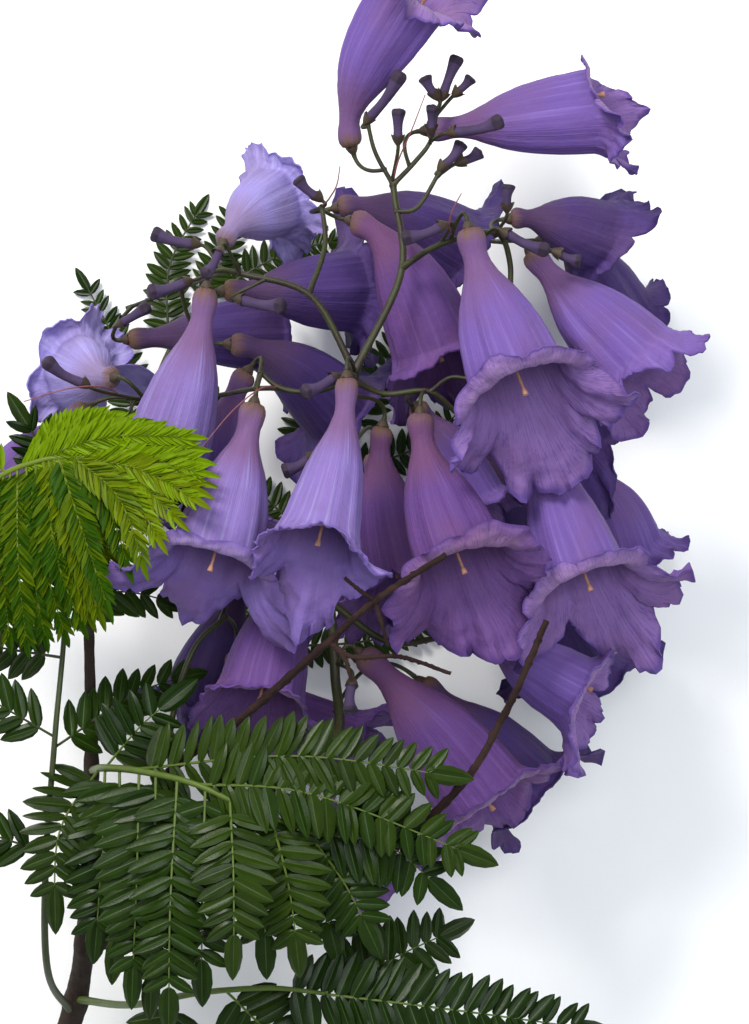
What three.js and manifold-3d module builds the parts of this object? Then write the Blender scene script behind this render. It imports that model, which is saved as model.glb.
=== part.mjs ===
// A cut flowering shoot of a jacaranda, lying on its back: a woody stem with a cut foot, a branching
// flower stalk with hanging trumpet blooms and buds, two old bare stalks, and feathery compound leaves.
// Millimetres. +X is to the right and +Y up the shoot as it is looked down on, and +Z is up from the
// surface that it lies on.
import * as THREE from "three";
import { mergeVertices } from "three/addons/utils/BufferGeometryUtils.js";
import Module from "manifold-3d";

const wasm = await Module();
wasm.setup();

// Driving sizes
const CLEARANCE = 0.3; // between neighbouring pieces
const BLOOM_WIDTH = 17; // across the swollen tube of a bloom
const PETAL = 0.9; // thickness of a petal
const LOBE_LENGTH = { near: 6.5, side: 13.5, far: 16.5 }; // of the five lobes, from the mouth
const CALYX = { radius: 1.75, length: 3.4 };
const PEDICEL_RADIUS = 0.6;
const BUD_RADIUS = 1.45;
const LEAFLET_LENGTH = 9.5;
const YOUNG_LEAFLET_LENGTH = 6;
const BLADE_THICKNESS = 0.5;
const RIB_HALF_WIDTH = 0.45;

const materials = {
  bark: new THREE.MeshStandardMaterial({ color: 0x3d2c22, roughness: 0.9, metalness: 0 }),
  oldBark: new THREE.MeshStandardMaterial({ color: 0x42281d, roughness: 0.9, metalness: 0 }),
  greenStalk: new THREE.MeshStandardMaterial({ color: 0x4f5426, roughness: 0.7, metalness: 0 }),
  petal: new THREE.MeshStandardMaterial({ color: 0x7a5fc0, roughness: 0.6, metalness: 0 }),
  matureLeaf: new THREE.MeshStandardMaterial({ color: 0x2f5a26, roughness: 0.55, metalness: 0 }),
  youngLeaf: new THREE.MeshStandardMaterial({ color: 0x6f9a1e, roughness: 0.55, metalness: 0 }),
};

// Shared helpers
const UP = new THREE.Vector3(0, 0, 1);
const vec = ([x, y, z]) => new THREE.Vector3(x, y, z);
const radians = THREE.MathUtils.degToRad;
const mix = THREE.MathUtils.lerp;

function solidOf(geometry) {
  geometry.deleteAttribute("normal");
  geometry.deleteAttribute("uv");
  const merged = mergeVertices(geometry, 1e-3);
  const corners = merged.index.array;
  const triVerts = [];
  for (let i = 0; i < corners.length; i += 3) {
    const [a, b, c] = corners.slice(i, i + 3);
    if (a !== b && b !== c && c !== a) triVerts.push(a, b, c);
  }
  const mesh = new wasm.Mesh({
    numProp: 3,
    vertProperties: merged.attributes.position.array,
    triVerts: new Uint32Array(triVerts),
  });
  return new wasm.Manifold(mesh);
}

function geometryOf(solid) {
  const { numProp, numVert, vertProperties, triVerts } = solid.getMesh();
  const position = new Float32Array(numVert * 3);
  for (let i = 0; i < numVert; i++) {
    position.set(vertProperties.subarray(i * numProp, i * numProp + 3), i * 3);
  }
  const geometry = new THREE.BufferGeometry();
  geometry.setAttribute("position", new THREE.BufferAttribute(position, 3));
  geometry.setIndex(new THREE.BufferAttribute(triVerts, 1));
  return geometry;
}

// Directions across a curve at t: ahead along it, out toward the reference, side the third
function frameAt(curve, t, reference = UP) {
  const ahead = curve.getTangent(t).normalize();
  const out = reference.clone().addScaledVector(ahead, -reference.dot(ahead)).normalize();
  const side = new THREE.Vector3().crossVectors(ahead, out);
  return { centre: curve.getPoint(t), ahead, out, side };
}

function moveVertices(geometry, place) {
  const position = geometry.attributes.position;
  const v = new THREE.Vector3();
  for (let i = 0; i < position.count; i++) {
    v.fromBufferAttribute(position, i);
    const p = place(v, i);
    position.setXYZ(i, p.x, p.y, p.z);
  }
  return geometry;
}

// The axis that a curve never runs near to
function clearAxis(curve) {
  const axes = [new THREE.Vector3(1, 0, 0), new THREE.Vector3(0, 1, 0), UP];
  const tangents = [0, 0.25, 0.5, 0.75, 1].map((t) => curve.getTangent(t));
  const nearest = (axis) => Math.max(...tangents.map((tangent) => Math.abs(tangent.dot(axis))));
  return axes.sort((a, b) => nearest(a) - nearest(b))[0];
}

// A round limb along a curve, its stations the distance from 0 to 1 along it and the radius there
function limb(curve, stations, sides) {
  const reference = clearAxis(curve);
  const last = stations.length - 1;
  const rod = new THREE.CylinderGeometry(1, 1, 1, sides, last);
  moveVertices(rod, (v) => {
    const [t, radius] = stations[Math.round((v.y + 0.5) * last)];
    const { centre, out, side } = frameAt(curve, t, reference);
    return centre.addScaledVector(out, v.z * radius).addScaledVector(side, v.x * radius);
  });
  return solidOf(rod);
}

function tapering(start, end, steps) {
  return Array.from({ length: steps + 1 }, (_, i) => [i / steps, mix(start, end, i / steps)]);
}

const through = (points) => new THREE.CatmullRomCurve3(points.map(vec), false, "centripetal");
const fuse = (solids) => wasm.Manifold.union(solids);

function largestPiece(solid) {
  return solid.decompose().sort((a, b) => b.volume() - a.volume())[0];
}

// Blooms: base is where the tube leaves its calyx, mouth the middle of its opening, leave the way that the
// tube sets off, turn the roll of its short lip from the side looked at, size and flare scales of its
// width and of how far its lobes fold back.
const blooms = {
  front_left: { base: [-24, 22, 64], mouth: [-32, -9, 70], leave: [-0.2, -1, 0.1], size: 1.08, flare: 1 },
  front_middle: { base: [-5.6, 27, 71], mouth: [-11, -5, 84], leave: [0, -1, 0.1], size: 1, flare: 0.9 },
  front_right: { base: [9, 20, 64], mouth: [17, -10, 72], leave: [0, -1, 0], size: 1.08, flare: 1 },
  front_high: {
    base: [18.6, 56.8, 68], mouth: [29, 25.4, 78],
    leave: [0.2, -1, 0.1], size: 1.16, flare: 1,
  },
  front_far_right: {
    base: [33.5, 19, 55], mouth: [42, -13, 60],
    leave: [0, -1, 0], size: 1.04, flare: 1,
  },
  front_foot: { base: [-3, -28, 52], mouth: [21, -56, 48], leave: [0.7, -0.6, 0.1], size: 1.15 },
  left_high: { base: [-33.6, 45, 58], mouth: [-42, 11, 56], leave: [-0.1, -1, 0.1] },
  left_end: { base: [-57.4, 21, 46], mouth: [-75, 1, 38], leave: [-0.8, -0.5, 0], size: 0.95 },
  left_star: { base: [-52, 27, 45], mouth: [-60, 28, 20], leave: [-0.5, 0, -0.8], size: 0.9 },
  left_low: { base: [-25.4, 28.4, 43], mouth: [-31, 2, 38], leave: [-0.6, -0.8, 0], size: 0.95 },
  left_back: { base: [-50, 34.8, 24], mouth: [-22, 36, 13], leave: [1, 0.1, 0.2], size: 0.9 },
  pale_high: {
    base: [-30.6, 53.8, 46], mouth: [-21, 62.5, 23],
    leave: [0.3, 0.5, -0.6], size: 0.85, flare: 0.7,
  },
  dark_left: { base: [-30.6, 44.4, 40], mouth: [-6, 45, 26], leave: [1, 0, 0], size: 0.95 },
  dark_middle: { base: [-29.4, 33.8, 34], mouth: [-8, 21, 18], leave: [1, 0, 0], size: 0.95 },
  top: { base: [-4.6, 72.8, 46], mouth: [6, 102, 50], leave: [-0.3, 1, 0.1], size: 0.95, turn: 60 },
  top_right: { base: [10, 76.4, 46], mouth: [43, 80, 46], leave: [1, 0.1, 0.1], size: 0.98, turn: -70 },
  arching: { base: [-5, 58.4, 46], mouth: [12, 34, 44], leave: [1, -0.2, 0.3], size: 1.05, flare: 0.5 },
  behind_neck: {
    base: [-7.8, 61.2, 33], mouth: [16, 54, 20],
    leave: [1, 0.2, 0], size: 0.95, flare: 0.7,
  },
  right_large: {
    base: [31, 52.4, 46], mouth: [51.6, 30.6, 49.8],
    leave: [0.6, -0.8, 0.1], size: 1.05, turn: -40,
  },
  right_high: {
    base: [27, 58.8, 43], mouth: [44, 55.8, 32.6],
    leave: [1, 0.1, 0], size: 0.85, turn: 60, flare: 0.5,
  },
  right_back: {
    base: [33.4, 54.8, 20], mouth: [48.8, 40.6, 3.6],
    leave: [1, 0, 0], size: 0.9, turn: -60, flare: 0.5,
  },
  right_open: {
    base: [29.5, 33.5, 41], mouth: [43.5, 17, 33.6],
    leave: [0.5, -0.9, 0], turn: -60, flare: 0.55,
  },
  right_low: {
    base: [38.4, 7.8, 20], mouth: [49.5, -6.2, 6.2],
    leave: [1, 0, 0], size: 0.94, flare: 0.7,
  },
  inner_blue: { base: [0, 12, 36], mouth: [1, -14, 30], leave: [0, -1, 0], size: 0.95 },
  inner_long: {
    base: [1.6, 17.4, 52], mouth: [4, -10, 51],
    leave: [-0.2, -1, 0], size: 0.9, flare: 0.45,
  },
  inner_round: {
    base: [8, 21, 47], mouth: [19, 3, 40],
    leave: [0.5, -0.3, -0.8], size: 0.85, flare: 0.6,
  },
  inner_dark: { base: [24, 17, 30], mouth: [27, -9, 17], leave: [0, -1, 0], size: 0.9, flare: 0.6 },
  low_right: {
    base: [20, -22, 46], mouth: [39.7, -35.4, 42],
    leave: [0.7, -0.7, 0], size: 0.88, turn: -30,
  },
  low_right_back: { base: [30, -8, 36], mouth: [40, -29, 19], leave: [0.5, -0.9, 0], flare: 0.7 },
  foot_back: { base: [9, -34, 32], mouth: [29, -54, 20], leave: [0.7, -0.6, 0], flare: 0.7 },
  low_left: { base: [-17, -10, 48], mouth: [-22.5, -35, 50], leave: [-0.2, -1, 0], flare: 0.6 },
  low_left_back: {
    base: [-27, -13, 26], mouth: [-34, -36, 21],
    leave: [-0.2, -1, 0], size: 0.95, flare: 0.7,
  },
  low_hooked: {
    base: [-28, -28, 34], mouth: [-8, -47, 24],
    leave: [-0.1, -1, 0.1], size: 0.9, flare: 0.6,
  },
  low_small: {
    base: [-16, -58, 22], mouth: [-1, -74, 2],
    leave: [0.6, -0.3, -0.7], size: 0.8, flare: 0.6,
  },
};

const AROUND_BLOOM = 10; // a corner at each lobe's tip and at each notch
const TUBE = [[0, 0.26], [0.26, 0.3], [0.6, 0.74], [1, 1]]; // along it, and its radius
const FLATTENED = 0.86; // depth of the tube against its width
const FLARE = { start: 12, near: 150, side: 84, far: 50 }; // angle of a lobe from the tube's axis
const NOTCH = 0.62; // length of the mouth at a notch, against a lobe's length

function byAngle(values, around) {
  const fromNear = Math.acos(Math.cos(around)) / Math.PI;
  if (fromNear < 0.6) return mix(values.near, values.side, THREE.MathUtils.smoothstep(fromNear, 0.2, 0.6));
  return mix(values.side, values.far, (fromNear - 0.6) / 0.4);
}

function bloomCurve({ base, mouth, leave }) {
  const from = vec(base);
  const to = vec(mouth);
  const reach = from.distanceTo(to);
  const first = from.clone().addScaledVector(vec(leave).normalize(), reach * 0.3);
  const second = to.clone().addScaledVector(to.clone().sub(first).normalize(), -reach * 0.35);
  return new THREE.CubicBezierCurve3(from, first, second, to);
}

function bloomSolid(bloom) {
  const { turn = 0, size = 1, flare = 0.8 } = bloom;
  const curve = bloomCurve(bloom);
  const last = TUBE.length - 1;
  const onTube = (step, inset) => (around) => {
    const [t, width] = TUBE[step];
    const { centre, out, side } = frameAt(curve, t);
    const radius = (width * BLOOM_WIDTH * size) / 2 - inset;
    const angle = around + radians(turn);
    return centre
      .addScaledVector(out, Math.cos(angle) * radius * FLATTENED)
      .addScaledVector(side, Math.sin(angle) * radius);
  };
  const onLobe = (share, inset) => (around) => {
    const { ahead, out, side } = frameAt(curve, 1);
    const angle = around + radians(turn);
    const away = out.clone().multiplyScalar(Math.cos(angle)).addScaledVector(side, Math.sin(angle));
    const length = byAngle(LOBE_LENGTH, around) * size * (Math.cos(5 * around) < 0 ? 1 : NOTCH);
    const start = radians(FLARE.start);
    const end = mix(start, radians(byAngle(FLARE, around)) * flare, share);
    const bend = (end - start) / (length * share);
    const inward = ahead.clone().multiplyScalar(Math.sin(end)).addScaledVector(away, -Math.cos(end));
    return onTube(last, 0)(around)
      .addScaledVector(away, (Math.cos(start) - Math.cos(end)) / bend)
      .addScaledVector(ahead, (Math.sin(end) - Math.sin(start)) / bend)
      .addScaledVector(inward, inset);
  };
  const pointAt = (t) => () => curve.getPoint(t);
  const outside = TUBE.map((_, step) => onTube(step, 0));
  const inside = [onLobe(0.55, PETAL), onTube(last, PETAL), pointAt(0.6)];
  const rings = [pointAt(0), ...outside, onLobe(0.55, 0), onLobe(1, 0), ...inside];
  const profile = rings.map((_, j) => new THREE.Vector2(j % (rings.length - 1) ? 1 : 0, j));
  const sheath = new THREE.LatheGeometry(profile, AROUND_BLOOM);
  moveVertices(sheath, (_, i) => {
    const around = (Math.floor(i / rings.length) * 2 * Math.PI) / AROUND_BLOOM;
    return rings[i % rings.length](around);
  });
  return solidOf(sheath);
}

// The woody stem, sawn off square at its foot, which is a little thicker than its tip
const STEM_RADIUS = { foot: 2.9, tip: 0.9 };
const stemPoints = [[-69, -119, -11], [-62, -104, 0], [-58, -80, 18], [-57, -50, 33], [-57.5, -22, 40]];
const stemCurve = through(stemPoints);

function woodyStem(grown = 0) {
  return limb(stemCurve, tapering(STEM_RADIUS.foot + grown, STEM_RADIUS.tip + grown, 12), 10);
}

function springingFromStem(solid) {
  return largestPiece(solid.subtract(woodyStem(CLEARANCE)));
}

// Twigs: along is the way of each, from and to its radius at either end
function twigs(list) {
  return fuse(list.map(({ along, from, to }) => limb(through(along), tapering(from, to, along.length), 5)));
}

// Old stalks of last season, bare but for the stubs of their side twigs
const oldStalks = {
  long: [
    {
      along: [
        [-57.8, -76, 20.5], [-50, -63, 44], [-40, -51, 55], [-27, -41.5, 66], [-9, -25.5, 82],
        [0, -17.5, 87], [14, -8.4, 89],
      ],
      from: 1.3,
      to: 0.75,
    },
    { along: [[-9, -25.5, 82], [-6, -29, 82], [-4.6, -33.5, 81]], from: 0.7, to: 0.5 },
    { along: [[-9, -25.5, 82], [-5, -28.5, 82], [5, -28.7, 80], [15, -32, 78]], from: 0.7, to: 0.5 },
    { along: [[0, -17.5, 87], [1, -21, 86.5], [2.6, -26.5, 85]], from: 0.6, to: 0.45 },
    { along: [[0, -17.5, 87], [-3, -15.5, 88], [-6, -13, 89]], from: 0.6, to: 0.45 },
  ],
  short: [
    {
      along: [
        [-59, -88, 12], [-30, -84, 44], [-7, -74.6, 58], [17, -54.6, 66], [27, -37.6, 72],
        [34, -21.6, 77],
      ],
      from: 1.4,
      to: 0.8,
    },
    { along: [[17, -54.6, 66], [15, -52, 68], [12, -51, 69]], from: 0.8, to: 0.6 },
  ],
};

// The flower stalk in its parts: the axes of each, the blooms that it carries with the point on an axis
// where the stalk of each sets out, and the buds in the same way, each from its calyx to its tip.
const flowerStalks = {
  main: {
    axes: [
      {
        along: [
          [-57.3, -64, 27], [-44, -60, 42], [-24, -57, 50], [-8, -46, 52], [-8, -32, 54],
          [-9, -14, 54], [-8, 4, 55], [-6, 18, 58], [-4, 28, 60],
        ],
        from: 1.5,
        to: 0.95,
      },
      { along: [[-9, -18, 54], [3, -26, 52], [14, -25, 47]], from: 0.9, to: 0.7 },
      { along: [[-40, -59.4, 43.4], [-41, -44, 45], [-36, -27, 45], [-30, -21, 42]], from: 0.8, to: 0.6 },
    ],
    blooms: {
      front_middle: [-4, 28, 60],
      front_foot: [-8, -36, 53.5],
      foot_back: [-8, -40, 53],
      low_right: [14, -25, 47],
      low_right_back: [13, -25.3, 47.4],
      low_left: [-9, -4, 54.6],
      low_left_back: [-31, -22, 42.7],
      low_hooked: [-30, -21, 42],
      low_small: [-24, -57, 50],
      inner_long: [-5, 23, 59],
      inner_blue: [-7, 8, 55.5],
      inner_round: [8, 23.8, 58.7],
    },
    buds: [
      { from: [-4, 27, 60], calyx: [-8, 26.8, 66], tip: [-14.4, 23.6, 70] },
      { from: [-7, 10, 56], calyx: [-12.6, 11, 60], tip: [-18.4, 8, 60] },
      { from: [-8, -30, 54], calyx: [-4.6, -34, 62], tip: [-5, -40, 64] },
    ],
  },
  high: {
    axes: [
      { along: [[-4, 28, 60], [5.4, 48.8, 58], [4, 62.4, 54], [3.6, 65.4, 53]], from: 0.95, to: 0.8 },
      { along: [[3.6, 65.4, 53], [0, 72, 53], [-1.4, 77.4, 53]], from: 0.6, to: 0.5 },
      { along: [[3.6, 65.4, 53], [8, 70, 53], [11, 74, 53], [12.5, 81, 52]], from: 0.65, to: 0.5 },
      { along: [[4, 60, 55], [8, 60.5, 56], [13, 68, 55]], from: 0.6, to: 0.5 },
    ],
    blooms: { top: [2, 68.5, 53], top_right: [7, 69, 53] },
    buds: [
      { from: [-1.4, 77, 53], calyx: [-1.4, 78.5, 53], tip: [5.4, 87.8, 56] },
      { from: [3.4, 66, 53], calyx: [4.6, 74.4, 57], tip: [4.6, 80.4, 58] },
      { from: [11, 73.8, 53], calyx: [11.2, 76.4, 57], tip: [11.4, 81, 59] },
      { from: [12.4, 80.5, 52], calyx: [12, 83.4, 53], tip: [9.8, 87, 54] },
      { from: [12.4, 80.5, 52], calyx: [13.6, 83.4, 51], tip: [16.6, 91.2, 51] },
      { from: [12, 79, 52], calyx: [16.4, 84, 50], tip: [19.4, 87, 50] },
      { from: [11, 74, 53], calyx: [15.4, 75.8, 58], tip: [25.4, 78, 60] },
      { from: [13, 67.8, 55], calyx: [13.4, 69, 55], tip: [17.4, 73.8, 54] },
      { from: [12.5, 67, 55], calyx: [17, 70, 52], tip: [21, 72, 50] },
    ],
  },
  right: {
    axes: [
      {
        along: [
          [5.4, 48.8, 58], [11, 52.4, 60], [16, 54.4, 60], [25, 55.4, 50], [27, 50, 48],
          [27, 43, 48],
        ],
        from: 0.8,
        to: 0.65,
      },
    ],
    blooms: {
      front_high: [15, 54, 60],
      right_large: [26, 54.5, 49],
      right_high: [24, 55.4, 51],
      right_back: [26, 54, 48.5],
      right_open: [27, 43.4, 48],
    },
    buds: [
      { from: [24, 55.5, 51], calyx: [26.4, 61, 54], tip: [26.6, 65.4, 55] },
      { from: [13, 53.4, 60], calyx: [13.4, 57, 64], tip: [5.4, 54.4, 66] },
      { from: [22, 55.4, 54], calyx: [26, 55.8, 58], tip: [34.6, 52, 60] },
      { from: [25, 55.4, 50], calyx: [36.4, 51.8, 55], tip: [41, 50, 55] },
    ],
  },
  left: {
    axes: [
      { along: [[-4, 28, 60], [-13.2, 43.4, 58], [-26, 47.4, 56], [-31, 48.5, 54]], from: 0.9, to: 0.7 },
      { along: [[-13.2, 43.4, 58], [-10, 53.4, 52], [-10.6, 61.4, 48]], from: 0.7, to: 0.55 },
      { along: [[-30, 48.2, 54], [-36, 46, 44], [-42, 44, 34], [-50, 41, 30]], from: 0.6, to: 0.5 },
    ],
    blooms: {
      left_high: [-29, 48, 55],
      pale_high: [-30.5, 48.4, 54],
      dark_left: [-35, 46.4, 46],
      dark_middle: [-39, 45, 39],
      left_back: [-49, 41.4, 30.4],
      behind_neck: [-10.6, 61, 48],
      arching: [-10.6, 60.6, 48.4],
    },
    buds: [
      { from: [-10.6, 61, 48], calyx: [-11.4, 63, 50], tip: [-15.6, 66.8, 51] },
      { from: [-30.6, 48.4, 54], calyx: [-36, 53.6, 52], tip: [-44.6, 55.8, 52] },
      { from: [-31, 48.4, 54], calyx: [-37.6, 46, 52], tip: [-45.4, 43.8, 54] },
      { from: [-49, 41.4, 30.4], calyx: [-51, 38, 38], tip: [-45.4, 41.4, 42] },
      { from: [-27, 47.6, 56], calyx: [-31, 52, 62], tip: [-34, 47, 66] },
      { from: [-22, 46.4, 57], calyx: [-27, 42.4, 58], tip: [-18, 41, 62] },
    ],
  },
  lower_left: {
    axes: [
      { along: [[-4, 27, 60], [-12, 24, 62], [-19, 24.8, 61], [-23, 28, 60]], from: 0.75, to: 0.6 },
      {
        along: [
          [-18.5, 24.7, 61], [-24, 24.6, 55], [-34, 23, 45], [-45, 22.4, 44], [-50, 22.8, 46],
        ],
        from: 0.65,
        to: 0.5,
      },
    ],
    blooms: {
      front_left: [-22.6, 27.7, 60.2],
      left_low: [-24, 24.6, 55],
      left_end: [-48, 22.6, 45],
      left_star: [-46, 22.4, 44.3],
    },
    buds: [
      { from: [-47, 22.5, 44.6], calyx: [-58, 25.6, 54], tip: [-66, 30.4, 56] },
      { from: [-48, 22.6, 45], calyx: [-52, 19, 54], tip: [-60, 19, 57] },
    ],
  },
  lower_right: {
    axes: [
      {
        along: [
          [-4, 26, 59.8], [2, 23.6, 58], [11, 24, 59], [18.6, 18.4, 56], [27, 21, 51], [31, 23, 50],
        ],
        from: 0.75,
        to: 0.6,
      },
      { along: [[11, 24, 59], [15, 26.8, 60], [19, 26.5, 61]], from: 0.55, to: 0.45 },
    ],
    blooms: {
      front_right: [10, 24, 59],
      front_far_right: [30.4, 22.7, 50],
      right_low: [28, 21.6, 50.6],
      inner_dark: [19, 18.3, 55.6],
    },
    buds: [],
  },
};

function pedicelSolid(from, bloom) {
  const ahead = vec(bloom.leave).normalize();
  const end = vec(bloom.base).addScaledVector(ahead, -CLEARANCE);
  const bend = end.clone().addScaledVector(ahead, -0.45 * from.distanceTo(end));
  const curve = new THREE.QuadraticBezierCurve3(from, bend, end);
  const cup = 1 - CALYX.length / curve.getLength();
  const stations = [0, cup * 0.5, cup].map((t) => [t, PEDICEL_RADIUS]);
  return limb(curve, [...stations, [1, CALYX.radius]], 4);
}

function budSolid({ from, calyx, tip }) {
  const ahead = vec(tip).sub(vec(calyx)).normalize();
  const foot = vec(calyx).addScaledVector(ahead, -2).toArray();
  const outline = [[0, 0.38], [0.33, 0.45], [0.66, 0.85], [0.97, 1], [1, 0.5]];
  return limb(through([from, foot, calyx, tip]), outline.map(([t, width]) => [t, width * BUD_RADIUS]), 5);
}

function flowerStalkSolid() {
  const parts = Object.values(flowerStalks).map(({ axes, blooms: carried, buds }) => {
    const pedicels = Object.entries(carried).map(([place, from]) => pedicelSolid(vec(from), blooms[place]));
    return fuse([twigs(axes), ...pedicels, ...buds.map(budSolid)]);
  });
  return fuse(parts);
}

// Compound leaves: a stalk with toothed blades to either side, each tooth of a blade one leaflet. A blade
// springs from the stalk at a count of its points, and runs on along the points that it lists.
const leaves = {
  near: {
    stalk: [
      [-57, -52, 32.5], [-54, -51.2, 50], [-47, -51.6, 62], [-36, -54, 70], [-27, -58, 72],
      [-20, -60.8, 72], [-12, -64, 70],
    ],
    blades: [
      { at: 0.7, along: [[-63, -64, 57], [-64, -84, 54]], pairs: 8 },
      { at: 1, along: [[-54.5, -68, 58], [-56, -90, 56]], pairs: 8 },
      { at: 2, along: [[-47.4, -74, 68], [-48.5, -98, 64]], pairs: 8 },
      { at: 2.7, along: [[-40.6, -78, 76], [-41, -103, 72]], pairs: 9 },
      { at: 3.8, along: [[-28, -73, 80], [-28, -92, 78]], pairs: 8 },
      { at: 4.9, along: [[-17, -75, 74], [-15, -92, 70]], pairs: 8 },
      { at: 5.8, along: [[-6, -74, 68], [1, -88, 64]], pairs: 7 },
      { at: 1.8, along: [[-15, -48.4, 76], [19, -53, 74]], pairs: 9 },
      { at: 3, along: [[-14, -55.6, 76], [24, -70, 72]], pairs: 9 },
      { at: 6, along: [[2, -66, 70], [17, -79, 66]], pairs: 7 },
      { at: 1, along: [[-46, -42, 55], [-36, -34, 56]], pairs: 6 },
    ],
  },
  young: {
    stalk: [[-57.5, -24, 39], [-72, -16, 50], [-81, -4, 58], [-76, 6, 64], [-66, 10.4, 68], [-60, 11, 69]],
    young: true,
    blades: [
      { at: 3.5, along: [[-54, 14.8, 71], [-33, 14.8, 73]], pairs: 7 },
      { at: 4.5, along: [[-49, 11, 72], [-31, 7, 78]], pairs: 7 },
      { at: 5, along: [[-47, 8.6, 74], [-33, 1, 84]], pairs: 7 },
      { at: 5, along: [[-51, 3, 76], [-45, -13, 82]], pairs: 7 },
      { at: 4.8, along: [[-58, -1, 68], [-54, -17, 60]], pairs: 7 },
      { at: 4.5, along: [[-58, -4, 73], [-52, -22, 73]], pairs: 7 },
      { at: 4, along: [[-63, -10, 68], [-57, -26, 62]], pairs: 7 },
      { at: 3.5, along: [[-71, -10, 66], [-69, -30, 60]], pairs: 7 },
      { at: 3.1, along: [[-80, -9, 62], [-80, -26, 56]], pairs: 9 },
      { at: 3.3, along: [[-82, 16, 66], [-93, 20, 64]], pairs: 8 },
      { at: 3.7, along: [[-61, 17, 64], [-50, 20, 64]], pairs: 8 },
    ],
  },
  left: {
    stalk: [
      [-61.5, -102, 1.5], [-66, -92, 30], [-66, -70, 44], [-64, -45, 52], [-62, -18, 50],
      [-64, 4, 46],
    ],
    blades: [
      { at: 2.9, along: [[-47, -36, 41], [-34, -32, 36]], pairs: 7 },
      { at: 3, along: [[-76, -38, 54], [-88, -31, 52]], pairs: 7 },
      { at: 2.1, along: [[-78, -64, 46], [-90, -56, 42]], pairs: 7 },
      { at: 3.9, along: [[-52, -16, 46], [-37, -19, 42]], pairs: 7 },
      { at: 3.6, along: [[-76, -27, 44], [-88, -24, 40]], pairs: 7 },
      { at: 5, along: [[-67, 13, 50], [-73, 23, 53]], pairs: 6 },
    ],
  },
  low: {
    stalk: [[-60.8, -99, 4], [-48, -99, 36], [-34, -96, 52], [-20, -95, 58], [-10, -96, 60]],
    blades: [
      { at: 3, along: [[14, -99, 62], [48, -104, 54]], pairs: 8 },
      { at: 4, along: [[6, -88, 54], [20, -82, 46]], pairs: 7 },
      { at: 2.3, along: [[-14, -110, 50], [10, -120, 40]], pairs: 8 },
      { at: 1.6, along: [[-42, -112, 44], [-34, -128, 36]], pairs: 7 },
    ],
  },
  back_high: {
    stalk: [[-57.5, -26, 38], [-55, -8, 14], [-49, 12, -4], [-42, 33, -11], [-34, 44, -12]],
    blades: [
      { at: 2.1, along: [[-52, 32, -11], [-61, 50, -13]], pairs: 7 },
      { at: 3, along: [[-42, 50, -12], [-34, 65, -13]], pairs: 7 },
      { at: 3.8, along: [[-31, 54, -12], [-28, 66, -13]], pairs: 6 },
      { at: 4, along: [[-18, 53, -12], [-4, 56, -13]], pairs: 7 },
      { at: 2.3, along: [[-38, 21, -9], [-28, 24, -11]], pairs: 5 },
    ],
  },
  back_low: {
    stalk: [[-57.6, -70, 24], [-44, -56, 6], [-26, -32, -6], [-12, -4, -11], [-4, 16, -12]],
    blades: [
      { at: 2.9, along: [[-24, 4, -12], [-36, 10, -13]], pairs: 6 },
      { at: 3.4, along: [[-15, 17, -12], [-13, 33, -13]], pairs: 6 },
      { at: 4, along: [[2, 30, -12], [8, 42, -13]], pairs: 6 },
      { at: 3.6, along: [[10, 14, -12], [22, 26, -13]], pairs: 6 },
      { at: 2.3, along: [[-34, -14, -9], [-46, -3, -12]], pairs: 6 },
      { at: 2.15, along: [[0, -26, -9], [22, -18, -13]], pairs: 7 },
      { at: 1.4, along: [[-20, -48, -4], [-4, -48, -10]], pairs: 6 },
    ],
  },
};

function bladeSolid(curve, pairs, leaflet) {
  const length = curve.getLength();
  const half = BLADE_THICKNESS / 2;
  const vertices = [];
  const faces = [];
  const at = (t, across, lift) => {
    const { centre, out, side } = frameAt(curve, t);
    vertices.push(...centre.addScaledVector(side, across).addScaledVector(out, lift).toArray());
    return vertices.length / 3 - 1;
  };
  const edges = [];
  for (let i = 0; i <= pairs; i++) {
    const t = i / pairs;
    const right = [at(t, RIB_HALF_WIDTH, half), at(t, RIB_HALF_WIDTH, -half)];
    const left = [at(t, -RIB_HALF_WIDTH, half), at(t, -RIB_HALF_WIDTH, -half)];
    edges.push([...right, ...left]);
  }
  for (let i = 0; i < pairs; i++) {
    const [rightTop, rightLow, leftTop, leftLow] = edges[i];
    const [nextRightTop, nextRightLow, nextLeftTop, nextLeftLow] = edges[i + 1];
    faces.push(leftTop, rightTop, nextRightTop, leftTop, nextRightTop, nextLeftTop);
    faces.push(leftLow, nextRightLow, rightLow, leftLow, nextLeftLow, nextRightLow);
    const grow = 0.55 + 0.45 * Math.sin((Math.PI * (i + 0.8)) / (pairs + 0.6));
    const tipAt = Math.min(1, (i + 0.5) / pairs + (leaflet * 0.35) / length);
    const right = at(tipAt, leaflet * grow, -0.8);
    const left = at(tipAt, -leaflet * grow, -0.8);
    faces.push(rightTop, right, nextRightTop, rightLow, nextRightLow, right);
    faces.push(rightLow, right, rightTop, nextRightTop, right, nextRightLow);
    faces.push(leftTop, nextLeftTop, left, leftLow, left, nextLeftLow);
    faces.push(leftLow, leftTop, left, nextLeftTop, nextLeftLow, left);
  }
  const [rightTop, rightLow, leftTop, leftLow] = edges[0];
  faces.push(rightTop, leftTop, rightLow, rightLow, leftTop, leftLow);
  const [endRightTop, endRightLow, endLeftTop, endLeftLow] = edges[pairs];
  faces.push(endRightTop, endRightLow, endLeftTop, endRightLow, endLeftLow, endLeftTop);
  const blade = new THREE.BufferGeometry();
  blade.setAttribute("position", new THREE.BufferAttribute(new Float32Array(vertices), 3));
  blade.setIndex(faces);
  return solidOf(blade);
}

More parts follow.
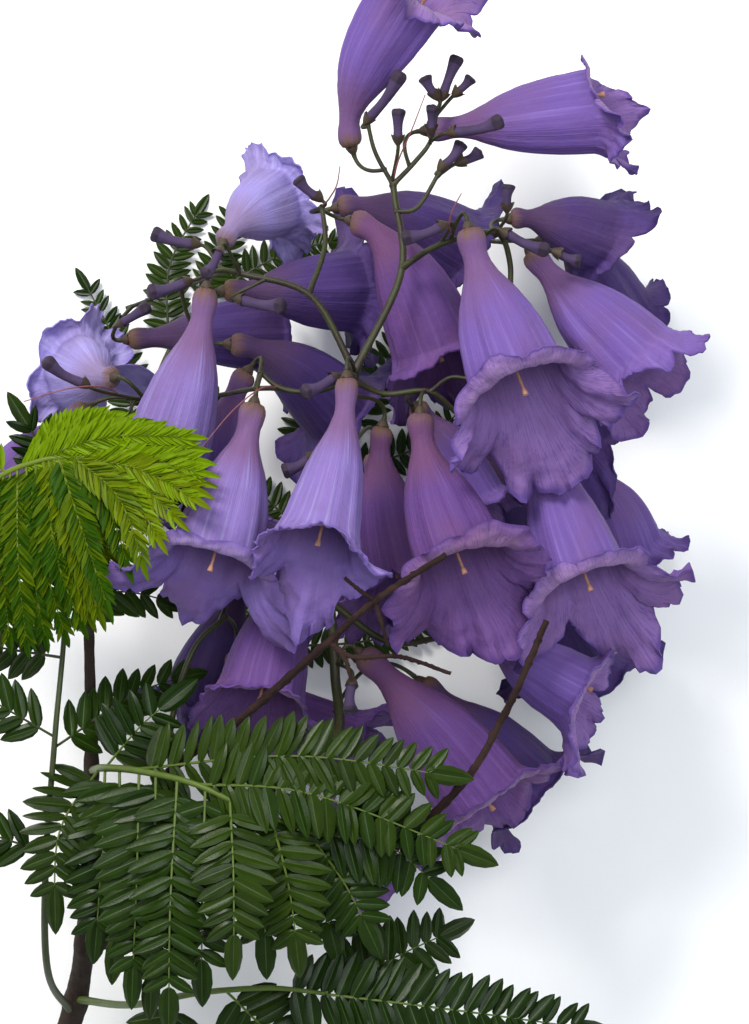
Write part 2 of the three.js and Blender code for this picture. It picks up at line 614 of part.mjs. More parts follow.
function leafSolid({ stalk, blades, young }) {
  const spine = through(stalk);
  const leaflet = young ? YOUNG_LEAFLET_LENGTH : LEAFLET_LENGTH;
  const springing = (at) => spine.getPoint(at / (stalk.length - 1)).toArray();
  const fans = blades.map(({ at, along, pairs }) => {
    return bladeSolid(through([springing(at), ...along]), pairs, leaflet);
  });
  return fuse([limb(spine, tapering(0.9, 0.55, 8), 5), ...fans]);
}

// Put together
const shoot = new THREE.Group();

function addPiece(name, solid, material) {
  const rounded = largestPiece(solidOf(geometryOf(solid)));
  const piece = new THREE.Mesh(geometryOf(rounded), material.clone());
  piece.name = name;
  shoot.add(piece);
}

for (const [place, bloom] of Object.entries(blooms)) {
  addPiece(`bloom_${place}`, bloomSolid(bloom), materials.petal);
}
addPiece("woody_stem", woodyStem(), materials.bark);
for (const [place, list] of Object.entries(oldStalks)) {
  addPiece(`old_stalk_${place}`, springingFromStem(twigs(list)), materials.oldBark);
}
addPiece("flower_stalk", springingFromStem(flowerStalkSolid()), materials.greenStalk);
for (const [place, leaf] of Object.entries(leaves)) {
  const material = leaf.young ? materials.youngLeaf : materials.matureLeaf;
  addPiece(`leaf_${place}`, springingFromStem(leafSolid(leaf)), material);
}

// The middle of the shoot stands over the origin, with its lowest points at the height of the surface
const extent = new THREE.Box3().setFromObject(shoot);
const middle = extent.getCenter(new THREE.Vector3());
shoot.position.set(-middle.x, -middle.y, -extent.min.z);

export default shoot;
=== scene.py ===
import math
import random

import bpy
import numpy as np
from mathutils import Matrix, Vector, noise


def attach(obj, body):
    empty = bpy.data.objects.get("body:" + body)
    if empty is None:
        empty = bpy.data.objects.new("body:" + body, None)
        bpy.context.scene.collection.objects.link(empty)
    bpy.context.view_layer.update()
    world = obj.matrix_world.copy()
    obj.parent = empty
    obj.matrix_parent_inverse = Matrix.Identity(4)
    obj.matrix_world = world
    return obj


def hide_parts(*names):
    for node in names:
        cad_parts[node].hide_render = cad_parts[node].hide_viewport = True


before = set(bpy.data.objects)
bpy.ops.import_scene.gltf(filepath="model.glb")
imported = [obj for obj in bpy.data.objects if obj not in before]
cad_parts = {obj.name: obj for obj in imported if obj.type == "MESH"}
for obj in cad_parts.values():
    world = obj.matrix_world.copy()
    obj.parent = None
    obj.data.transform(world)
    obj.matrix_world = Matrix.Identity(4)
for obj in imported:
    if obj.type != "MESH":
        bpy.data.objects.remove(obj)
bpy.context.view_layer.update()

# The surface that the cut branch lies on, a bright overcast sky with its brightest part beyond the tip of
# the branch, and the camera, which looks straight down on it from far off, so that near blooms don't swell.
# Sizes here are millimetres from the middle of the photo's view, and in_frame takes them to the frame.
MM = 0.001
VIEW_IN_FRAME = np.array([13.911, 4.649, 13.968])
PICTURE_MIDDLE = (-0.1, 0, 0)
PICTURE_HEIGHT = 204.8  # of the blooms' surroundings that the picture takes in
BLOOMS_HEIGHT = 65  # of the near blooms above the surface
CAMERA_HEIGHT = 3000
CAMERA_SENSOR = 36
CAMERA_REACH = 20  # in metres, like the sizes and places of the lights and the width of the table
SKY_COLOUR = (0.86, 0.93, 1.0)
SKY_STRENGTH = 0.6
LIGHTS_AIM = Vector((0.01, 0, 0.05))
TABLE = -13.9  # its surface
TABLE_WIDTH = 6

bpy.context.scene.view_settings.view_transform = "Standard"


def in_frame(points):
    return (np.asarray(points, float) + VIEW_IN_FRAME) * MM


camera_data = bpy.data.cameras.new("camera")
camera_data.sensor_width = CAMERA_SENSOR
camera_data.lens = CAMERA_SENSOR * (CAMERA_HEIGHT - BLOOMS_HEIGHT) / PICTURE_HEIGHT
camera_data.clip_end = CAMERA_REACH
camera = bpy.data.objects.new("camera", camera_data)
picture_middle = in_frame(PICTURE_MIDDLE)
camera.location = (picture_middle[0], picture_middle[1], CAMERA_HEIGHT * MM)
bpy.context.scene.collection.objects.link(camera)
bpy.context.scene.camera = camera

sky = bpy.data.worlds.new("sky")
sky.use_nodes = True
sky.node_tree.nodes["Background"].inputs["Color"].default_value = (*SKY_COLOUR, 1)
sky.node_tree.nodes["Background"].inputs["Strength"].default_value = SKY_STRENGTH
bpy.context.scene.world = sky


def soft_light(name, place, width, power, colour):
    data = bpy.data.lights.new(name, "AREA")
    data.shape = "DISK"
    data.size = width
    data.energy = power
    data.color = colour
    light = bpy.data.objects.new(name, data)
    light.location = place
    light.rotation_euler = (LIGHTS_AIM - Vector(place)).to_track_quat("-Z", "Y").to_euler()
    bpy.context.scene.collection.objects.link(light)


soft_light("sky_beyond_tip", (-0.8, 1.3, 1.7), width=0.8, power=62, colour=(1.0, 0.97, 0.92))
soft_light("sky_behind_camera", (0.5, 0.2, 2.4), width=1.2, power=32, colour=(0.92, 0.95, 1.0))


class Signal:
    """A value on its way through a finish's nodes, so that shader sums read as sums"""

    def __init__(self, finish, socket):
        self.finish = finish
        self.socket = socket

    def sum(self, operation, first, second):
        return self.finish.node("Math", {"operation": operation}, {0: first, 1: second})

    def __add__(self, other):
        return self.sum("ADD", self, other)

    def __radd__(self, other):
        return self.sum("ADD", other, self)

    def __sub__(self, other):
        return self.sum("SUBTRACT", self, other)

    def __rsub__(self, other):
        return self.sum("SUBTRACT", other, self)

    def __mul__(self, other):
        return self.sum("MULTIPLY", self, other)

    def __abs__(self):
        return self.finish.node("Math", {"operation": "ABSOLUTE"}, {0: self})


class Finish:
    """A material, and the nodes that lead to its surface"""

    def __init__(self, name, roughness, specular=0.4):
        self.material = bpy.data.materials.new(name)
        self.material.use_nodes = True
        self.tree = self.material.node_tree
        self.surface = self.tree.nodes["Principled BSDF"]
        self.surface.inputs["Roughness"].default_value = roughness
        self.surface.inputs["Specular IOR Level"].default_value = specular

    def node(self, kind, settings, sockets, output=0):
        node = self.tree.nodes.new(f"ShaderNode{kind}")
        for setting, value in settings.items():
            setattr(node, setting, value)
        for socket, value in sockets.items():
            if isinstance(value, Signal):
                self.tree.links.new(value.socket, node.inputs[socket])
            else:
                node.inputs[socket].default_value = value
        return Signal(self, node.outputs[output])

    def attribute(self, name, output="Vector"):
        return self.node("Attribute", {"attribute_name": name}, {}, output)

    def place(self):
        return self.node("TexCoord", {}, {}, "Object")

    def stretched(self, vector, amounts):
        return self.node("VectorMath", {"operation": "MULTIPLY"}, {0: vector, 1: amounts})

    def clouds(self, vector, scale, detail=3.0):
        return self.node("TexNoise", {}, {"Vector": vector, "Scale": scale, "Detail": detail})

    def step(self, value, low, high):
        kinds = {"interpolation_type": "SMOOTHSTEP", "clamp": True}
        return self.node("MapRange", kinds, {"Value": value, "From Min": low, "From Max": high})

    def mix(self, share, first, second):
        first, second = (c if isinstance(c, Signal) else (*c, 1) for c in (first, second))
        return self.node("Mix", {"data_type": "RGBA"}, {0: share, 6: first, 7: second}, 2)

    def ramp(self, value, stops):
        ramped = self.node("ValToRGB", {}, {0: value})
        elements = ramped.socket.node.color_ramp.elements
        while len(elements) < len(stops):
            elements.new(1)
        for element, (position, colour) in zip(elements, stops):
            element.position = position
            element.color = (*colour, 1)
        return ramped

    def part(self, vector, axis):
        return self.node("SeparateXYZ", {}, {0: vector}, axis)

    def bump(self, height, strength, depth):
        return self.node("Bump", {}, {"Height": height, "Strength": strength, "Distance": depth * MM})

    def coat(self, **signals):
        for socket, signal in signals.items():
            self.tree.links.new(signal.socket, self.surface.inputs[socket.replace("_", " ").title()])
        return self.material


table_finish = Finish("pale_table", roughness=0.9)
table_grain = table_finish.clouds(table_finish.place(), 40)
table_colour = table_finish.mix(table_grain, (0.88, 0.88, 0.875), (0.92, 0.92, 0.915))
bpy.ops.object.select_all(action="DESELECT")
bpy.ops.mesh.primitive_grid_add(x_subdivisions=8, y_subdivisions=8, size=TABLE_WIDTH)
table = bpy.context.object
table.name = "pale_table"
table.data.materials.append(table_finish.coat(base_color=table_colour))


# The woody stem is the living wood that everything springs from: dark bark with long shallow furrows, a
# swelling where each leaf or stalk leaves it, and a saw cut at its foot that shows the pale wood.
STEM = [(-69, -119, -11), (-62, -104, 0), (-58, -80, 18), (-57, -50, 33), (-57.5, -22, 40)]
STEM_RADII = (2.9, 0.9)  # at its foot and at its end
STEM_CORNERS = 40
STEM_STEPS = 70  # to each stretch between its points
FURROWS = ((0.09, 1.7, 0.045), (0.054, 4.08, 0.22))  # depth against the radius, how close round and along
FURROWS_START = 3  # in the noise
SPRINGINGS = (0.14, 0.3, 0.43, 0.52, 0.74, 0.97)  # along the stem
SWELLING = 0.16  # against the radius
SWELLING_LENGTH = 0.018
SMOOTH_UNDER = math.radians(50)  # edges with a sharper bend stay sharp


class Gathered:
    """Meshes of one kind that are joined into one piece, with a material and a place for each part"""

    def __init__(self):
        self.points = []
        self.faces = []
        self.kinds = []
        self.places = []
        self.count = 0

    def add(self, points, faces, kinds=0, places=None):
        self.points.append(points)
        self.faces += [[corner + self.count for corner in face] for face in faces]
        self.kinds.append(np.broadcast_to(kinds, len(faces)))
        self.places.append(np.zeros((len(points), 3)) if places is None else places)
        self.count += len(points)

    def piece(self, name, slot, nodes, materials):
        mesh = bpy.data.meshes.new(name)
        mesh.from_pydata(in_frame(np.concatenate(self.points)), [], self.faces)
        for material in materials:
            mesh.materials.append(material)
        mesh.polygons.foreach_set("material_index", np.concatenate(self.kinds).astype(np.int32))
        places = mesh.attributes.new("place", "FLOAT_VECTOR", "POINT")
        places.data.foreach_set("vector", np.concatenate(self.places).astype(np.float32).ravel())
        piece = bpy.data.objects.new(name, mesh)
        bpy.context.scene.collection.objects.link(piece)
        bpy.ops.object.select_all(action="DESELECT")
        piece.select_set(True)
        bpy.context.view_layer.objects.active = piece
        bpy.ops.object.shade_smooth_by_angle(angle=SMOOTH_UNDER)
        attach(piece, "root")
        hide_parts(*nodes)
        return piece


def unit(vectors):
    return vectors / np.linalg.norm(vectors, axis=-1, keepdims=True)


def through(points, steps):
    """Places along a smooth curve through points, as many steps to each stretch, and its last point"""
    points = np.array(points, float)
    ends = [2 * points[0] - points[1], *points, 2 * points[-1] - points[-2]]
    share = np.linspace(0, 1, steps, endpoint=False)[:, None]
    run = []
    for before, start, end, after in zip(ends, ends[1:], ends[2:], ends[3:]):
        spans = [np.linalg.norm(b - a) ** 0.5 for a, b in ((before, start), (start, end), (end, after))]
        lead, span, trail = spans
        leave = end - start + ((start - before) / lead - (end - before) / (lead + span)) * span
        arrive = end - start + ((after - end) / trail - (after - start) / (span + trail)) * span
        square = 3 * (end - start) - 2 * leave - arrive
        cube = 2 * (start - end) + leave + arrive
        run.append(start + leave * share + square * share**2 + cube * share**3)
    return np.vstack([*run, points[-1:]])


def run_along(spine):
    """How far along a curve each of its places is"""
    return np.concatenate([[0], np.cumsum(np.linalg.norm(np.diff(spine, axis=0), axis=1))])


def tapering(spine, foot, end):
    return np.linspace(foot, end, len(spine))


def turns(corners):
    return np.arange(corners) * 2 * math.pi / corners


def wander(around, heights, grain):
    """Smooth noise from -1 to 1 for each height and way round, the finer the higher its grain"""
    rows = []
    for height in heights:
        spots = [Vector((math.cos(a) * grain, math.sin(a) * grain, height)) for a in around]
        rows.append([noise.noise(spot) for spot in spots])
    return np.array(rows)


def add_rings(piece, foot, rings, end, along, kinds=0):
    """Adds a closed skin of rings with a lone point at each end. The place of a point is the cosine and the
    sine of how far round it is, and how far along"""
    count, corners = rings.shape[:2]
    ring = 1 + np.arange(count)[:, None] * corners
    corner = np.arange(corners)
    following = (corner + 1) % corners
    near, far = ring[:-1], ring[1:]
    sides = np.stack([near + corner, near + following, far + following, far + corner], -1)
    foot_fan = np.stack([following + 1, corner + 1, 0 * corner], -1)
    end_fan = np.stack([ring[-1] + corner, ring[-1] + following, 0 * corner + 1 + count * corners], -1)
    faces = foot_fan.tolist() + sides.reshape(-1, 4).tolist() + end_fan.tolist()
    places = np.zeros((count, corners, 3))
    places[..., 0] = np.cos(turns(corners))
    places[..., 1] = np.sin(turns(corners))
    places[..., 2] = along[:, None]
    places = np.vstack([[[0, 0, along[0]]], places.reshape(-1, 3), [[0, 0, along[-1]]]])
    piece.add(np.vstack([[foot], rings.reshape(-1, 3), [end]]), faces, kinds, places)


def add_limb(piece, spine, radii, corners, kinds=(0, 0, 0), relief=None):
    """Adds a round limb along spine; kinds are those of its foot, its side (one, or one for each stretch)
    and its end, and relief gives the share of the radius that each row and way round has"""
    ahead = unit(np.gradient(spine, axis=0))
    out = [np.eye(3)[np.argmin(np.abs(ahead[0]))]]
    for heading in ahead:
        out.append(unit(out[-1] - heading * (out[-1] @ heading)))
    out = np.array(out[1:])
    side = np.cross(ahead, out)
    around = turns(corners)
    radii = np.broadcast_to(radii, len(spine))[:, None]
    if relief:
        radii = radii * relief(np.arange(len(spine)), around)
    across = out[:, None] * np.cos(around)[:, None] + side[:, None] * np.sin(around)[:, None]
    side_kinds = np.repeat(np.broadcast_to(kinds[1], len(spine) - 1), corners)
    kinds = np.concatenate([np.full(corners, kinds[0]), side_kinds, np.full(corners, kinds[2])])
    rings = spine[:, None] + across * radii[..., None]
    add_rings(piece, spine[0], rings, spine[-1], run_along(spine), kinds)


def furrowed(rows, around):
    """Relief of the stem's bark: long furrows with a finer roughness in them"""
    layers = [depth * wander(around, rows * step + FURROWS_START, grain) for depth, grain, step in FURROWS]
    return 1 + sum(layers)


def bark_finish(name, dark, light, lichen):
    finish = Finish(name, roughness=0.85, specular=0.12)
    along_grain = finish.stretched(finish.attribute("place"), (1.6, 1.6, 0.35))
    furrows = finish.clouds(along_grain, 2.2, 6)
    flecks = finish.step(finish.clouds(finish.place(), 900, 2), 0.6, 0.7)
    patches = finish.step(finish.clouds(finish.place(), 120, 4), 0.5, 0.62)
    colour = finish.mix(furrows, dark, light)
    colour = finish.mix(patches * 0.35, colour, lichen)
    colour = finish.mix(flecks * 0.5, colour, light)
    rough = 0.7 + furrows * 0.25
    relief = finish.bump(furrows + flecks * 0.4, 0.6, 0.25)
    return finish.coat(base_color=colour, roughness=rough, normal=relief)


def cut_wood_finish():
    finish = Finish("cut_wood", roughness=0.8)
    rays = finish.clouds(finish.stretched(finish.attribute("place"), (3, 3, 0)), 2, 2)
    pores = finish.step(finish.clouds(finish.place(), 2500, 1), 0.55, 0.7)
    colour = finish.mix(rays, (0.42, 0.30, 0.16), (0.62, 0.50, 0.31))
    colour = finish.mix(pores * 0.5, colour, (0.25, 0.16, 0.08))
    return finish.coat(base_color=colour, normal=finish.bump(pores, 0.3, 0.1))


stem_spine = through(STEM, STEM_STEPS)
stem_shares = np.linspace(0, 1, len(stem_spine))
stem_swellings = sum(np.exp(-(((stem_shares - at) / SWELLING_LENGTH) ** 2)) for at in SPRINGINGS)
stem_radii = tapering(stem_spine, *STEM_RADII) * (1 + SWELLING * stem_swellings)
stem = Gathered()
add_limb(stem, stem_spine, stem_radii, STEM_CORNERS, kinds=(1, 0, 0), relief=furrowed)
bark = bark_finish("stem_bark", (0.012, 0.008, 0.007), (0.045, 0.031, 0.024), (0.06, 0.06, 0.045))
stem.piece("stem_with_bark", "bark", ["woody_stem"], [bark, cut_wood_finish()])


# Old stalks of last season, dried hard: dark red brown, warty with the scars of the blooms that they bore,
# with short stubs where their side twigs broke off. Each springs from the woody stem.

# A twig is its radius at the foot and at the end, and the points that it passes.
OLD_STALKS = dict(
    long=[
        (
            1.3, 0.75, (-57.8, -76, 20.5), (-50, -63, 44), (-40, -51, 55), (-27, -41.5, 66),
            (-9, -25.5, 82), (0, -17.5, 87), (14, -8.4, 89),
        ),
        (0.7, 0.5, (-9, -25.5, 82), (-6, -29, 82), (-4.6, -33.5, 81)),
        (0.7, 0.5, (-9, -25.5, 82), (-5, -28.5, 82), (5, -28.7, 80), (15, -32, 78)),
        (0.6, 0.45, (0, -17.5, 87), (1, -21, 86.5), (2.6, -26.5, 85)),
        (0.6, 0.45, (0, -17.5, 87), (-3, -15.5, 88), (-6, -13, 89)),
    ],
    short=[
        (
            1.4, 0.8, (-59, -88, 12), (-30, -84, 44), (-7, -74.6, 58), (17, -54.6, 66), (27, -37.6, 72),
            (34, -21.6, 77),
        ),
        (0.8, 0.6, (17, -54.6, 66), (15, -52, 68), (12, -51, 69)),
    ],
)
OLD_STALK_SHRUNK = 0.8  # against the radii in the table
OLD_BARK = 0.94  # its mean radius between the warts, against the stalk's
WARTS = dict(height=0.8, above=0.1, grain=1.3, step=0.35)  # against the radius, how close round, and along
PITS = dict(depth=0.12, finer=2.6)


def warty(seed):
    """Relief of an old stalk's bark: scars that stand out, and small pits all over"""

    def relief(rows, around):
        heights = rows * WARTS["step"] + seed
        scars = WARTS["height"] * np.maximum(0, wander(around, heights, WARTS["grain"]) - WARTS["above"])
        pits = PITS["depth"] * wander(around, heights * PITS["finer"], WARTS["grain"] * PITS["finer"])
        return OLD_BARK + scars + pits

    return relief


old_bark = bark_finish(
    "old_stalk_bark", (0.007, 0.0035, 0.004), (0.028, 0.014, 0.012), (0.050, 0.028, 0.022)
)
for stalk_number, (place, twigs) in enumerate(OLD_STALKS.items()):
    old_stalk = Gathered()
    for twig_number, (foot, end, *points) in enumerate(twigs):
        spine = through(points, steps=44)
        radii = tapering(spine, foot, end) * OLD_STALK_SHRUNK
        relief = warty(seed=9 * stalk_number + 2 * twig_number)
        add_limb(old_stalk, spine, radii, corners=14, relief=relief)
    old_stalk.piece(f"old_stalk_{place}_bark", "old_bark", [f"old_stalk_{place}"], [old_bark])


# Compound leaves. A leaf is a ribbed stalk with side ribs in pairs, and each side rib carries two rows of
# leaflets and one more at its tip. Mature leaflets are firm, dark and glossy, with a paler midrib; those of
# the young leaf are narrow, thin and yellow green, and lie close together like the barbs of a feather.

# A blade is one side rib: at which point of the stalk it springs, and the points that it passes. Between
# says which ribs have others in between, how far from one to the next these are, and how far under them.
LEAVES = dict(
    near=dict(
        leaflets="mature",
        stalk=[
            (-57, -52, 32.5), (-54, -51.2, 50), (-47, -51.6, 62), (-36, -54, 70), (-27, -58, 72),
            (-20, -60.8, 72), (-12, -64, 70),
        ],
        blades=[
            (0.7, (-63, -64, 57), (-64, -84, 54)), (1, (-54.5, -68, 58), (-56, -90, 56)),
            (2, (-47.4, -74, 68), (-48.5, -98, 64)), (2.7, (-40.6, -78, 76), (-41, -103, 72)),
            (3.8, (-28, -73, 80), (-28, -92, 78)), (4.9, (-17, -75, 74), (-15, -92, 70)),
            (5.8, (-6, -74, 68), (1, -88, 64)), (1.8, (-15, -48.4, 76), (19, -53, 74)),
            (3, (-14, -55.6, 76), (24, -70, 72)), (6, (2, -66, 70), (17, -79, 66)),
            (1, (-46, -42, 55), (-36, -34, 56)),
        ],
        between=dict(order=[1, 2, 3, 4, 5, 6], shares=[0.5], under=6),
    ),
    young=dict(
        leaflets="young",
        stalk=[
            (-57.5, -24, 39), (-72, -16, 50), (-81, -4, 58), (-76, 6, 64), (-66, 10.4, 68), (-60, 11, 69),
        ],
        blades=[
            (3.5, (-54, 14.8, 71), (-33, 14.8, 73)), (4.5, (-49, 11, 72), (-31, 7, 78)),
            (5, (-47, 8.6, 74), (-33, 1, 84)), (5, (-51, 3, 76), (-45, -13, 82)),
            (4.8, (-58, -1, 68), (-54, -17, 60)), (4.5, (-58, -4, 73), (-52, -22, 73)),
            (4, (-63, -10, 68), (-57, -26, 62)), (3.5, (-71, -10, 66), (-69, -30, 60)),
            (3.1, (-80, -9, 62), (-80, -26, 56)), (3.3, (-82, 16, 66), (-93, 20, 64)),
            (3.7, (-61, 17, 64), (-50, 20, 64)),
        ],
        between=dict(order=[10, 0, 1, 2, 3, 4, 5, 6, 7, 8], shares=[0.33, 0.67], under=1.6),
    ),
    left=dict(
        leaflets="left",
        stalk=[
            (-61.5, -102, 1.5), (-66, -92, 30), (-66, -70, 44), (-64, -45, 52), (-62, -18, 50),
            (-64, 4, 46),
        ],
        blades=[
            (2.9, (-47, -36, 41), (-34, -32, 36)), (3, (-76, -38, 54), (-88, -31, 52)),
            (2.1, (-78, -64, 46), (-90, -56, 42)), (3.9, (-52, -16, 46), (-37, -19, 42)),
            (3.6, (-76, -27, 44), (-88, -24, 40)), (5, (-67, 13, 50), (-73, 23, 53)),
        ],
    ),
    low=dict(
        leaflets="mature",
        stalk=[(-60.8, -99, 4), (-48, -99, 36), (-34, -96, 52), (-20, -95, 58), (-10, -96, 60)],
        blades=[
            (3, (14, -99, 62), (48, -104, 54)), (4, (6, -88, 54), (20, -82, 46)),
            (2.3, (-14, -110, 50), (10, -120, 40)), (1.6, (-42, -112, 44), (-34, -128, 36)),
        ],
    ),
    back_high=dict(
        leaflets="back",
        stalk=[(-57.5, -26, 38), (-55, -8, 14), (-49, 12, -4), (-42, 33, -11), (-34, 44, -12)],
        blades=[
            (2.1, (-52, 32, -11), (-61, 50, -13)), (3, (-42, 50, -12), (-34, 65, -13)),
            (3.8, (-31, 54, -12), (-28, 66, -13)), (4, (-18, 53, -12), (-4, 56, -13)),
            (2.3, (-38, 21, -9), (-28, 24, -11)),
        ],
    ),
    back_low=dict(
        leaflets="back",
        stalk=[(-57.6, -70, 24), (-44, -56, 6), (-26, -32, -6), (-12, -4, -11), (-4, 16, -12)],
        blades=[
            (2.9, (-24, 4, -12), (-36, 10, -13)), (3.4, (-15, 17, -12), (-13, 33, -13)),
            (4, (2, 30, -12), (8, 42, -13)), (3.6, (10, 14, -12), (22, 26, -13)),
            (2.3, (-34, -14, -9), (-46, -3, -12)), (2.15, (0, -26, -9), (22, -18, -13)),
            (1.4, (-20, -48, -4), (-4, -48, -10)),
        ],
    ),
)
LEAF_STALK_RADII = (0.85, 0.42)
SIDE_RIB_RADII = (0.32, 0.15)
RIB_STEPS = 24  # to each stretch between its points
LEAFLETS = dict(
    mature=dict(length=9.6, width=3.9, spacing=2.85, slope=16),
    left=dict(length=8.0, width=3.1, spacing=3.3, slope=34),
    back=dict(length=5.4, width=2.0, spacing=2.05, slope=18),
    young=dict(length=5.4, width=1.3, spacing=0.92, slope=44),
)
LEAFLET_THICKNESS = 0.016  # against its length
LEAFLET_DROOP = 0.11
MIDRIB = 0.05  # half its width, against half the leaflet's
SLOPE_GAIN = 16  # degrees, from the first leaflets to those at the tip of the rib
SET_IN_RIB = 0.35  # of a leaflet's foot
PAST_RIB = 0.85  # of the length of the leaflet at the tip


def leaflet_model(outline, columns, bulge):
    """A leaflet one long from its foot at the origin and one wide to either side. outline is how far along
    and how wide, columns how far across, and bulge how far across and how high"""
    bpy.ops.object.select_all(action="DESELECT")
    across_count, along_count = len(columns) - 1, len(outline) - 1
    bpy.ops.mesh.primitive_grid_add(x_subdivisions=across_count, y_subdivisions=along_count, size=2)
    leaflet = bpy.context.object
    for number, vertex in enumerate(leaflet.data.vertices):
        along, width = outline[number // len(columns)]
        across = columns[number % len(columns)]
        height = np.interp(abs(across), *zip(*bulge))
        vertex.co = (across * width, along, height * width - LEAFLET_DROOP * along**2)
    thickness = leaflet.modifiers.new("thickness", "SOLIDIFY")
    thickness.thickness = LEAFLET_THICKNESS
    thickness.offset = 0
    bpy.ops.object.modifier_apply(modifier=thickness.name)
    mesh = leaflet.data
    points = np.array([vertex.co for vertex in mesh.vertices])
    faces = [list(face.vertices) for face in mesh.polygons]
    on_rib = [abs(face.center.x) < MIDRIB and abs(face.normal.z) > 0.5 for face in mesh.polygons]
    bpy.data.objects.remove(leaflet)
    return points, faces, np.array(on_rib, int)


MATURE_MODEL = leaflet_model(
    outline=[(0, 0.10), (0.06, 0.54), (0.22, 0.93), (0.50, 1.0), (0.76, 0.74), (0.92, 0.34), (1, 0.03)],
    columns=[-1, -0.55, -MIDRIB, MIDRIB, 0.55, 1],
    bulge=[(MIDRIB, -0.015), (0.55, 0.035), (1, -0.025)],
)
YOUNG_MODEL = leaflet_model(
    outline=[(0, 0.5), (0.2, 0.95), (0.6, 0.95), (0.86, 0.5), (1, 0.05)],
    columns=[-1, 0, 1],
    bulge=[(0, -0.02), (1, 0.07)],
)


def add_copy(piece, model, origin, side, ahead, out, sizes, kinds=0):
    """Adds a copy of a model with its x, y and z along side, ahead and out, its tip lifted off the table"""
    points, faces, own_kinds = model
    placed = (points * sizes) @ np.array([side, ahead, out]) + origin
    under = (TABLE - placed[:, 2]) / np.maximum(points[:, 1], 0.25)
    placed[:, 2] += max(0, under.max()) * np.maximum(points[:, 1], 0)
    piece.add(placed, faces, own_kinds + kinds)


def turned(vector, axis, angle):
    """vector turned about axis by an angle in degrees"""
    angle = math.radians(angle)
    along = axis * (axis @ vector)
    return along + (vector - along) * math.cos(angle) + np.cross(axis, vector) * math.sin(angle)


def upright(ahead):
    """For each heading, the direction across it that is nearest to straight up, and the one beside that"""
    up = np.array([0, 0, 1.0])
    out = unit(up - ahead * (ahead @ up)[:, None])
    return out, np.cross(ahead, out)


def add_leaflet(piece, kind, place, direction, out, kinds, roll, size, draw):
    """Adds a leaflet that points in a direction, its face turned from out by roll"""
    direction = unit(direction)
    out = turned(unit(out - direction * (out @ direction)), direction, roll)
    side = np.cross(direction, out)
    length = kind["length"] * size
    sizes = (kind["width"] / 2 * size * draw.uniform(0.92, 1.08), length, length)
    model = YOUNG_MODEL if kind is LEAFLETS["young"] else MATURE_MODEL
    add_copy(piece, model, place - direction * SET_IN_RIB, side, direction, out, sizes, kinds)


def add_side_rib(leaflets, ribs, kind, points, tints, draw):
    """Adds a side rib with its two rows of leaflets, and the one at its tip, which ends where points do"""
    spine = through(points, RIB_STEPS)
    run = run_along(spine)
    kept = run < run[-1] - PAST_RIB * kind["length"]
    spine, run = spine[kept], run[kept]
    add_limb(ribs, spine, tapering(spine, *SIDE_RIB_RADII), corners=6)
    ahead = unit(np.gradient(spine, axis=0))
    out, side = upright(ahead)
    for at in np.arange(kind["spacing"] * 1.2, run[-1], kind["spacing"]):
        index = min(int(np.searchsorted(run, at)), len(spine) - 1)
        share = at / run[-1]
        # leaflets are smaller towards both ends of the rib
        grow = 0.66 + 0.34 * math.sin(math.pi * min(1, share * 0.95 + 0.12) ** 0.8)
        for hand in (-1, 1):
            slope = math.radians(kind["slope"] + SLOPE_GAIN * share + draw.uniform(-5, 5))
            place = spine[index] + side[index] * hand * 0.2
            direction = side[index] * hand * math.cos(slope) + ahead[index] * math.sin(slope)
            direction = direction + out[index] * draw.uniform(-0.16, 0.10)
            roll = hand * draw.uniform(-6, 32)
            size = grow * draw.uniform(0.93, 1.07)
            add_leaflet(leaflets, kind, place, direction, out[index], draw.choice(tints), roll, size, draw)
    tip = ahead[-1] + out[-1] * draw.uniform(-0.2, 0)
    add_leaflet(leaflets, kind, spine[-1], tip, out[-1], tints[0], draw.uniform(-15, 15), 1.05, draw)


def mottled_finish(name, dark, light, mottle, fine=None, relief=(0.4, 0.15), roughness=0.65, specular=0.4):
    """Spots of two colours; mottle is how small and how detailed they are, and fine as much for the relief
    on top, and relief its strength and its depth"""
    finish = Finish(name, roughness, specular)
    spots = finish.clouds(finish.place(), *mottle)
    height = finish.clouds(finish.place(), *fine) + spots if fine else spots
    return finish.coat(base_color=finish.mix(spots, dark, light), normal=finish.bump(height, *relief))


def rib_finish(name, colour, light):
    finish = Finish(name, roughness=0.5, specular=0.25)
    grain = finish.clouds(finish.stretched(finish.place(), (1, 1, 0.4)), 700, 3)
    return finish.coat(base_color=finish.mix(grain, colour, light), normal=finish.bump(grain, 0.2, 0.1))


def leaflet_finishes(name, tints, midrib, roughness, specular):
    """The finish of each tint of leaflet, and after each that of its midrib"""
    finishes = []
    for number, (dark, light) in enumerate(tints):
        look = mottled_finish(
            f"{name}_{number}", dark, light, (420, 4), (2600, 2), (0.25, 0.12), roughness, specular
        )
        finishes += [look, midrib]
    return finishes


